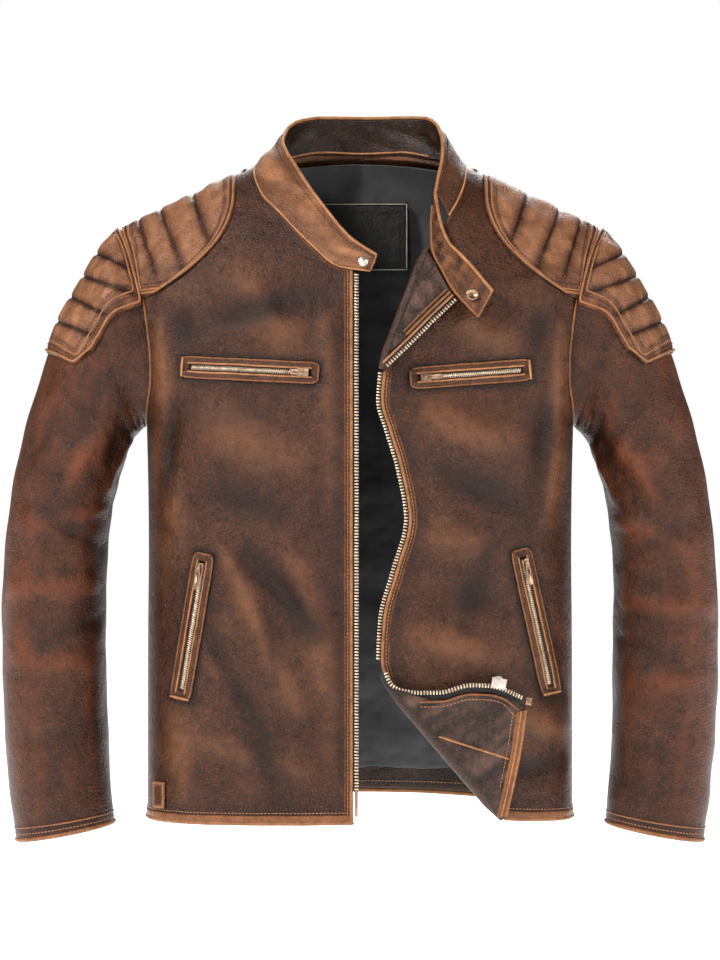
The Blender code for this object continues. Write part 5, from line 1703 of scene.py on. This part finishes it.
@dataclass
class Flaps:
    """The turned-back lapel with the collar's end, and the turned-back hem corner."""

    looks: Finishes
    small: Small

    def layers(self, name: str, pairs: Sequence[Pair], body: str, shell_node: str, facing_node: str) -> Array:
        """The flap's brown leather and its creased facing on top."""
        out = np.array([0, -1, 0])
        rows, columns = 90, 60
        points = lay_pairs(pairs, over_front(OUTER_LIFT), rows, columns) + np.array([0, -LEATHER, 0])
        made = leather_piece(f"{name}_leather", points, out, self.looks.brown, LEATHER)
        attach(made, body)
        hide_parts(shell_node)
        top = lay_pairs(pairs, over_front(FACE_LIFT), rows, columns) + np.array([0, -0.0013, 0])
        x, z = top[..., 0], top[..., 2]
        run = (x + z) if name == "lapel" else (x * 0.55 - z)
        inner = 1 - edge_wear(top.shape[:2], 7)
        crease = 0.0006 * ripple(run * 0.9, (x - z) * 0.5, 33, 0.030) + 0.0002 * ripple(x, z, 34, 0.009)
        top = top - np.array([0, 1, 0]) * (np.maximum(crease, -0.0004) * inner)[..., None]
        # lighter on the crease crests, painted highlight; darker in the crease valleys, painted shade
        rub = np.clip(0.12 + crease / 0.0020, 0, 0.6) * inner
        made = leather_piece(
            f"{name}_facing", top, out, self.looks.facing, 0.0013, rub=rub, dirt=np.clip(-crease / 0.003, 0, 0.4),
        )
        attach(made, body)
        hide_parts(facing_node)
        return top

    def strip(
        self, name: str, lines: Sequence[tuple[Sequence, float, float, float]], body: str, finish: bpy.types.Material,
        surface: Callable | None = None,
    ) -> None:
        """Piping laid on a flap: each line is its points, its radius, its lift and its rub."""
        cord = Body()
        for points, radius, lift, rub in lines:
            path = smooth_path(points, 0.002)
            spots = (surface or over_front(FACE_LIFT + 0.0013))(path[:, 0], path[:, 1]) - np.array([0, lift, 0])
            cord.add(*tube_grid(spots, radius), rub=rub)
        made = finished(name, cord, finish)
        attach(made, body)

    def stitches(self, name: str, lines: Sequence[Sequence], body: str, finish: bpy.types.Material) -> None:
        """Rows of stitches on a flap."""
        runs = []
        for points in lines:
            path = smooth_path(points, 0.003)
            spots = over_front(FACE_LIFT + 0.0016)(path[:, 0], path[:, 1])
            runs.append(np.column_stack([spots, surface_normals(plain_front, path[:, 0], path[:, 1], -1)]))
        made = stitch_run(name, runs, STITCH_PITCH, self.small.stitch, finish)
        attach(made, body)

    def roll(self, name: str, start: tuple, end: tuple, first: float, last: float, body: str, node: str) -> None:
        """The rounded bend of a fold, between the panel and its flap."""
        a, b = np.array(start), np.array(end)
        along = unit(b - a)
        away = np.array([along[1], -along[0]])
        away = away if away[0] < 0 else -away
        rows, columns = 80, 26
        at = a + (b - a) * np.linspace(first, last, rows)[:, None]
        reach = np.interp(np.linspace(0, 1, rows), [0, 0.12, 0.88, 1], [0.62, 1, 1, 0.62]) * (FOLD_RADIUS + LEATHER)
        turn = np.radians(np.linspace(0, 178, columns))
        centre = plain_front(at[:, 0], at[:, 1]) + np.array([0, -FOLD_RADIUS, 0])
        side = np.array([away[0], 0, away[1]])
        points = (
            centre[:, None]
            + side * (np.sin(turn)[None, :] * reach[:, None])[..., None]
            + np.array([0, -1, 0]) * (np.cos(turn)[None, :] * -reach[:, None])[..., None] * -1
        )
        made = leather_piece(name, points, side * 1.0, self.looks.facing, LEATHER, rub=0.18)
        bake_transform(made)
        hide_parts(node)

    def build(self) -> None:
        """Makes and places every piece."""
        self.layers("lapel", LAPEL, "lapel", "lapel_shell", "lapel_facing")
        self.layers("corner", CORNER, "hem_corner", "hem_corner_shell", "hem_corner_facing")
        self.roll("lapel_bend", LAPEL_TOP, LAPEL_END, 0.02, 0.99, "lapel", "lapel_roll")
        self.roll("corner_bend", CORNER_TOP, CORNER_END, 0.02, 0.99, "hem_corner", "hem_corner_roll")
        beside = [[(x - d * 0.68, z + d * 0.73) for x, z in LAPEL_ZIP] for d in (0.0045, 0.0085, 0.0125)]
        self.strip(
            "lapel_piping",
            [(beside[0], 0.0011, 0.0, 0.6), (beside[1][:-1], 0.0011, 0.0, 0.35), (beside[2][:-1], 0.0009, 0.0, 0.2)],
            "lapel", self.looks.piping,
        )
        self.tab()
        hem_outer = [(0.1600, -0.5030), (0.1545, -0.5400), (0.1470, -0.5760), (0.1405, -0.6030)]
        hem_inner = [(x - 0.0085, z - 0.001) for x, z in hem_outer]
        strip_pairs = [(q, p) for p, q in zip(hem_outer, hem_inner)]
        band = lay_pairs(strip_pairs, over_front(FACE_LIFT + 0.0022), 90, 8)
        made = leather_piece("corner_hem_band", band, np.array([0, -1, 0]), self.looks.piping, 0.0016, rub=0.25)
        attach(made, "hem_corner")
        lines = [
            (hem_outer, 0.0015, 0.0006, 0.6),
            ([(x - 0.0045, z) for x, z in hem_outer], 0.0007, 0.0012, 0.9),
            ([(0.0760, -0.5260), (0.1000, -0.5340), (0.1430, -0.5485)], 0.0010, 0.0006, 0.8),
        ]
        self.strip("corner_piping", lines, "hem_corner", self.looks.piping)
        under = [(x, z - 0.0135) for x, z in CORNER_ZIP[3:-1]] + [(0.1500, -0.5080)]
        edge = [(x, z - 0.0088) for x, z in CORNER_ZIP[3:-1]] + [(0.1530, -0.5020)]
        self.strip("corner_zip_piping", [(edge, 0.0010, 0.0, 0.3)], "hem_corner", self.looks.piping)
        self.stitches(
            "corner_stitching", [under, [(x - 0.0125, z) for x, z in hem_outer[:-1]]], "hem_corner",
            self.looks.thread
        )

    def tab(self) -> None:
        """The collar's end, folded out, with its piping and press stud."""
        points = lay_pairs(TAB, tab_surface, 90, 40) + np.array([0, -0.0020, 0])
        x, z = points[..., 0], points[..., 2]
        inner = 1 - edge_wear(points.shape[:2], 6)
        crease = 0.0007 * ripple(x + z, x - z, 37, 0.018) * inner
        points = points - np.array([0, 1, 0]) * crease[..., None]
        # lighter on the crease crests: painted highlight, over an even rub
        made = leather_piece(
            "collar_end_tab", points, np.array([0, -1, 0]), self.looks.brown, 0.0030,
            rub=np.clip(0.30 + crease / 0.0030, 0, 0.7),
        )
        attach(made, "lapel")
        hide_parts("collar_tab")
        outer = [p[1] for p in TAB]
        inner_edge = [p[0] for p in TAB]
        lift = 0.0020
        self.strip(
            "collar_tab_piping",
            [
                (outer, 0.0017, lift, 0.75), (inner_edge, 0.0012, lift - 0.0008, 0.35),
                ([outer[-1], inner_edge[-1]], 0.0012, lift - 0.0005, 0.35),
            ],
            "lapel", self.looks.piping, tab_surface,
        )
        along = [(x - 0.0050, z - 0.0050) for x, z in outer[3:]]
        self.stitches("collar_tab_stitching", [along], "lapel", self.looks.dark_thread)
        at = np.array(SNAP_AT)
        spot = over_front(FACE_LIFT + 0.0028)(at[0], at[1])
        normal = surface_normals(plain_front, at[:1], at[1:], -1)[0]
        made = turned(
            "press_stud_cap",
            (
                (0.0, 0.0006), (0.0022, 0.0008), (0.0032, 0.0016), (0.0042, 0.0026), (0.0052, 0.0028),
                (0.0060, 0.0020), (0.0063, 0.0), (0.0, 0.0),
            ),
            spot, normal, self.looks.brass,
        )
        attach(made, "lapel")
        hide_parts("collar_snap_cap")
        made = turned(
            "press_stud_post",
            (
                (0.0, 0.0026), (0.0016, 0.0026), (0.0022, 0.0018), (0.0040, 0.0014), (0.0048, 0.0008), (0.0050, 0.0),
                (0.0, 0.0),
            ),
            np.array([0.0030, -0.1032, -0.0690]), np.array([0, -1, 0.25]), self.looks.nickel,
        )
        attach(made, "jacket")
        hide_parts("collar_snap_stud")


def turned(
    name: str, profile: Sequence[tuple[float, float]], base: Array, axis: Array, material: bpy.types.Material,
    sides: int = 40,
) -> bpy.types.Object:
    """A turned metal piece from a profile of (radius, height), standing on base along axis."""
    axis = unit(np.asarray(axis, float))
    x = unit(np.cross(axis, [0.3, 0.2, 1.0]))
    y = np.cross(axis, x)
    fine = np.array(profile)[1:-1]
    a = np.linspace(0, 2 * math.pi, sides, endpoint=False)
    points = []
    for r, h in [(0.0002, profile[0][1]), *fine, (0.0002, 0.0)]:
        points.append(base + axis * h + (x * np.cos(a)[:, None] + y * np.sin(a)[:, None]) * r)
    grid = np.array(points)
    flat = grid.reshape(-1, 3)
    quads = wrap_quads(len(grid), sides, True)
    caps = [
        [row * sides, row * sides + i, row * sides + i + 1, row * sides + i + 2]
        for row in (0, len(grid) - 1)
        for i in range(1, sides - 2, 2)
    ]
    caps = [c if c[0] == 0 else c[::-1] for c in caps]
    body = Body()
    faces = np.concatenate([quads, np.array(caps)[:, ::-1]])
    body.add(flat, oriented(flat, faces))
    return finished(name, body, material)


def zip_metal(
    name: str, seat: Array, along: Array, normal: Array, size: tuple[float, float, float],
    material: bpy.types.Material, bridge: bool = True,
) -> bpy.types.Object:
    """A zip slider: a waisted lower and upper plate with a bridge for the pull."""
    z = unit(normal - along * (normal @ along))
    x = unit(along)
    y = np.cross(z, x)
    length, width, thick = size
    mesh = bpy.data.meshes.new(name)
    work = bmesh.new()
    blocks = [
        ((length, width, thick * 0.36), (0, 0, thick * 0.82)),
        ((length * 0.9, width * 0.9, thick * 0.3), (0, 0, thick * 0.15)),
        ((length * 0.25, width * 0.4, thick * 0.6), (length * 0.2, 0, thick * 0.5)),
    ]
    if bridge:
        blocks += [
            ((length * 0.12, width * 0.30, thick * 0.7), (length * 0.34, 0, thick * 1.2)),
            ((length * 0.12, width * 0.30, thick * 0.7), (-length * 0.30, 0, thick * 1.2)),
            ((length * 0.72, width * 0.24, thick * 0.22), (0.02 * length, 0, thick * 1.52)),
        ]
    for scale, at in blocks:
        made = bmesh.ops.create_cube(work, size=1.0)["verts"]
        bmesh.ops.scale(work, vec=scale, verts=made)
        bmesh.ops.translate(work, vec=at, verts=made)
        edges = list({e for v in made for e in v.link_edges})
        bmesh.ops.bevel(work, geom=edges, offset=min(scale) * 0.28, segments=3, affect="EDGES", profile=0.6)
    for v in work.verts:
        waist = 1 - 0.16 * math.exp(-((v.co.x / (length * 0.22)) ** 2))
        v.co.y *= waist
    matrix = Matrix((x, y, z)).transposed().to_4x4()
    matrix.translation = Vector(seat)
    work.transform(matrix)
    work.to_mesh(mesh)
    work.free()
    mesh.polygons.foreach_set("use_smooth", np.ones(len(mesh.polygons), bool))
    mesh.materials.append(material)
    made = bpy.data.objects.new(name, mesh)
    bpy.context.scene.collection.objects.link(made)
    return made


def pull_tag(
    name: str, hinge: Array, along: Array, normal: Array, length: float, width: float, material: bpy.types.Material,
    thick: float = 0.0014,
) -> bpy.types.Object:
    """A zip pull: a rounded tag with a slot at its hinge and a raised rim."""
    z = unit(normal - along * (normal @ along))
    x = unit(along)
    y = np.cross(z, x)
    sides = 56
    a = np.linspace(0, 2 * math.pi, sides, endpoint=False)

    def outline(inset: float, start: float, stop: float, wide: float) -> Array:
        c, s = np.cos(a), np.sin(a)
        middle, half = (start + stop) / 2, (stop - start) / 2 - inset
        px = middle + half * np.sign(c) * np.abs(c) ** 0.55
        taper = 0.80 + 0.20 * (px - start) / (stop - start)
        py = (wide / 2 - inset) * np.sign(s) * np.abs(s) ** 0.6 * taper
        return np.column_stack([px, py])

    outer = outline(0.0, -0.0007, length - 0.0007, width)
    hole = outline(0.0, length * 0.10, length * 0.34, width * 0.46)
    levels = [
        (hole, -0.5), (hole, 0.5), (outline(0.0009, -0.0007, length - 0.0007, width), 0.42),
        (outline(0.0004, -0.0007, length - 0.0007, width), 0.5), (outer, 0.25), (outer, -0.25),
        (outline(0.0004, -0.0007, length - 0.0007, width), -0.5),
    ]
    rings = [np.column_stack([line, np.full(sides, h * thick)]) for line, h in levels]
    grid = np.array(rings + [rings[0]])
    points = np.array(rings).reshape(-1, 3)
    quads = wrap_quads(len(grid), sides, True) % (len(rings) * sides)
    world = np.asarray(hinge) + points[:, 0:1] * x + points[:, 1:2] * y + points[:, 2:3] * z
    body = Body()
    body.add(world, oriented(world, quads))
    return finished(name, body, material)


@dataclass
class FrontZip:
    """The open main zip: two rows of teeth on their tapes, the pin, the slider and the end box."""

    looks: Finishes
    small: Small

    def chain(
        self, name: str, path: Array, surface: Callable, body: str, node: str, inward: float, lift: float,
    ) -> None:
        """One row of teeth on its woven tape."""
        run = run_on(surface, path, -1, lift)
        made = stitch_run(f"{name}_teeth", [run], TOOTH_PITCH, self.small.tooth, self.looks.teeth)
        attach(made, body)
        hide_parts(node)
        inner, outer = side_step(path, 0.0055 * inward), side_step(path, -0.0002 * inward)
        lines = (outer, (outer + inner) / 2, inner)
        tape = np.stack([surface(p[:, 0], p[:, 1]) + run[:, 3:] * (lift - 0.0006) for p in lines])
        made = leather_piece(f"{name}_tape", tape, np.array([0, -1, 0]), self.looks.tape, 0.0009)
        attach(made, body)

    def build(self) -> None:
        """Makes and places every piece."""
        right = smooth_path([(-0.0034, -0.0800), (-0.0034, -0.34), (-0.0034, -0.5790)], 0.003)
        self.chain("zip_right", right, on_front, "jacket", "front_zip_right", -1, -0.0008)
        left = smooth_path([(x - 0.0028, z) for x, z in FREE_EDGE[:-1]], 0.003)
        self.chain("zip_left", left, on_front, "jacket", "front_zip_left", 1, -0.0008)
        self.chain(
            "zip_lapel", smooth_path(LAPEL_ZIP, 0.003), over_front(OUTER_LIFT + 0.0034), "lapel", "front_zip_lapel",
            -1, 0.0,
        )
        self.chain(
            "zip_corner", smooth_path(CORNER_ZIP, 0.003), over_front(OUTER_LIFT + 0.0034), "hem_corner",
            "front_zip_corner", -1, 0.0,
        )
        pin = Body()
        z = np.linspace(-0.6030, -0.5795, 20)
        pin.add(*tube_grid(on_front(np.full(20, -0.0036), z) + np.array([0, -0.0010, 0]), 0.0016, 12))
        made = finished("zip_pin", pin, self.looks.brass)
        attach(made, "jacket")
        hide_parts("front_zip_pin")
        at = np.array([0.1329, -0.4755])
        seat = over_front(OUTER_LIFT + 0.0040)(at[0], at[1])
        normal = surface_normals(plain_front, at[:1], at[1:], -1)[0]
        along = unit(plain_front(0.1349, -0.4806) - plain_front(0.1190, -0.4773))
        made = zip_metal("main_slider", seat, along, normal, (0.0150, 0.0100, 0.0030), self.looks.nickel, False)
        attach(made, "front_slider")
        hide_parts("front_zip_slider")
        up = np.array([0.05, 0.0, 1.0])
        low = over_front(OUTER_LIFT * 0.5 + 0.0010)(0.1329, -0.4850)
        made = pull_tag("main_pull", low, up, normal, 0.0165, 0.0088, self.looks.nickel, 0.0018)
        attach(made, "front_slider")
        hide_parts("front_zip_pull")
        end = over_front(OUTER_LIFT + 0.0022)(0.1625, -0.4940)
        made = zip_metal("zip_end_box", end, along, normal, (0.0060, 0.0070, 0.0026), self.looks.brass, False)
        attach(made, "hem_corner")
        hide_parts("front_zip_end_box")


@dataclass
class Pockets:
    """The four zipped welt pockets with sliders and pulls, and the side tab at the hem."""

    looks: Finishes
    small: Small

    def along(self, plan: PocketPlan, shares: Array, across: Array | float) -> Array:
        """Places (x, z) at shares of the zip and a distance across it."""
        a, b = np.array(plan.start), np.array(plan.end)
        u = unit(b - a)
        side = np.array([-u[1], u[0]])
        shares = np.asarray(shares, float)[..., None]
        return a + (b - a) * shares + side * np.broadcast_to(np.asarray(across, float), shares.shape[:-1])[..., None]

    def ring_line(self, plan: PocketPlan, half: float, past: float) -> Array:
        """A rounded rectangle round the zip, as a closed (x, z) line."""
        length = float(np.linalg.norm(np.array(plan.end) - np.array(plan.start)))
        a = np.linspace(0, 2 * math.pi, 160, endpoint=False)
        c, s = np.cos(a), np.sin(a)
        power = 0.16
        u = (length / 2 + past) * np.sign(c) * np.abs(c) ** power
        v = half * np.sign(s) * np.abs(s) ** power
        loop = self.along(plan, 0.5 + u / length, v)
        keep = np.concatenate([[True], np.linalg.norm(np.diff(loop, axis=0), axis=1) > 0.0004])
        loop = np.vstack([loop[keep], loop[:1]])
        at = np.concatenate([[0], np.cumsum(np.linalg.norm(np.diff(loop, axis=0), axis=1))])
        places = np.linspace(0, at[-1], 130)
        return np.column_stack([np.interp(places, at, loop[:, i]) for i in range(2)])

    def build(self) -> None:
        """Makes and places every piece."""
        for plan in POCKETS:
            self.pocket(plan)
        corners = ((-0.2040, -0.5770), (-0.1925, -0.5762)), ((-0.2040, -0.6015), (-0.1925, -0.6005))
        tab = lay_pairs(corners, on_front, 26, 16)
        made = leather_piece(
            "hem_side_tab", tab + np.array([0, -0.0036, 0]), np.array([0, -1, 0]), self.looks.collar, 0.0022,
            rub=edge_wear(tab.shape[:2], 4) * 0.8,
        )
        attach(made, "jacket")
        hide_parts("side_tab")

    def pocket(self, plan: PocketPlan) -> None:
        """One pocket."""
        length = float(np.linalg.norm(np.array(plan.end) - np.array(plan.start)))
        body = Body()
        t = np.linspace(-0.0075 / length, 1 + 0.0085 / length, 110)
        for sign in (-1, 1):
            across = np.linspace(0.0034, 0.0092, 12)
            grid = np.stack([self.along(plan, t, sign * w) for w in across], 1)
            crown = 0.0012 * np.sin(np.linspace(0.1, math.pi, 12))[None, :]
            n = surface_normals(on_front, grid[..., 0], grid[..., 1], -1)
            points = on_front(grid[..., 0], grid[..., 1]) + n * (0.0016 + crown)[..., None]
            flat, faces = thick_grid(points, n, 0.0014)
            body.add(flat, faces, 0.12)
        for start, stop in ((-0.0085, -0.0015), (length + 0.0015, length + 0.0095)):
            te = np.linspace(start / length, stop / length, 8)
            grid = np.stack([self.along(plan, te, w) for w in np.linspace(-0.0085, 0.0085, 14)], 1)
            n = surface_normals(on_front, grid[..., 0], grid[..., 1], -1)
            flat, faces = thick_grid(on_front(grid[..., 0], grid[..., 1]) + n * 0.0013, n, 0.0012)
            body.add(flat, faces, 0.10)
        made = finished(f"{plan.name}_welts", body, self.looks.brown)
        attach(made, "jacket")
        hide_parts(f"{plan.name}_pocket_welt", f"{plan.name}_pocket_bag")
        cord = Body()
        outer = run_on(on_front, self.ring_line(plan, 0.0098, 0.0085), -1, 0.0014)
        cord.add(*tube_grid(outer[:, :3], 0.0010), rub=0.25)
        for sign in (-1, 1):
            line = self.along(plan, np.linspace(-0.002 / length, 1 + 0.002 / length, 80), sign * 0.0044)
            run = run_on(on_front, line, -1, 0.0026)
            cord.add(*tube_grid(run[:, :3], 0.0009), rub=0.75)
        bar_at = 1 + 0.0075 / length
        bar = run_on(on_front, self.along(plan, np.full(12, bar_at), np.linspace(-0.0088, 0.0088, 12)), -1, 0.0026)
        cord.add(*tube_grid(bar[:, :3], 0.0010), rub=0.95)
        made = finished(f"{plan.name}_piping", cord, self.looks.piping)
        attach(made, "jacket")
        stitch = run_on(on_front, self.ring_line(plan, 0.0118, 0.0108), -1, 0.0003)
        made = stitch_run(f"{plan.name}_stitching", [stitch], STITCH_PITCH, self.small.stitch, self.looks.dark_thread)
        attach(made, "jacket")
        self.metal(plan, length)

    def metal(self, plan: PocketPlan, length: float) -> None:
        """The pocket's teeth, slider and pull."""
        t = np.linspace(0.004 / length, 1.0, 120)
        tape = np.stack([on_front(*self.along(plan, t, w).T) + np.array([0, 0.0, 0]) for w in (-0.0040, 0.0, 0.0040)])
        made = leather_piece(f"{plan.name}_tape", tape, np.array([0, -1, 0]), self.looks.tape, 0.0008, -0.0002)
        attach(made, "jacket")
        runs = []
        for k, sign in enumerate((-1, 1)):
            shift = POCKET_TOOTH_PITCH * 0.5 * k / length
            runs.append(run_on(on_front, self.along(plan, t[:-2] + shift, sign * 0.0008), -1, 0.0008))
        made = stitch_run(
            f"{plan.name}_teeth", runs, POCKET_TOOTH_PITCH * 1.25, self.small.pocket_tooth, self.looks.teeth,
        )
        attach(made, "jacket")
        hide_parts(f"{plan.name}_pocket_zip")
        spot = self.along(plan, np.array([0.0060 / length]), 0.0)[0]
        middle = self.along(plan, np.array([0.5]), 0.0)[0]
        normal = surface_normals(plain_front, middle[:1], middle[1:], -1)[0]
        line = unit(plain_front(*plan.end) - plain_front(*plan.start))
        normal = unit(normal - line * (normal @ line))
        made = zip_metal(
            f"{plan.name}_zip_slider", plain_front(spot[0], spot[1]) + normal * 0.0024, line, normal,
            (0.0110, 0.0078, 0.0030), self.looks.brass,
        )
        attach(made, f"{plan.name}_slider_body")
        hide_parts(f"{plan.name}_slider")
        hinge = plain_front(spot[0], spot[1]) + normal * (0.0026 + 0.0032 + 0.0012) - line * 0.002
        made = pull_tag(f"{plan.name}_zip_pull", hinge, line, normal, plan.pull, 0.0060, self.looks.brass)
        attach(made, f"{plan.name}_pull_body")
        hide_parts(f"{plan.name}_pull")


PARTS = (Fronts, Back, Shoulders, Sleeves, Collar, Flaps, FrontZip, Pockets)


def main() -> None:
    """Builds the jacket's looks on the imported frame."""
    logging.basicConfig(level=logging.INFO, format="%(name)s: %(message)s")
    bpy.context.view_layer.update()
    looks, small = make_finishes(), make_small()
    for part in PARTS:
        part(looks, small).build()
        log.info("built %s", part.__name__)
    studio()


if __name__ == "__main__":
    main()
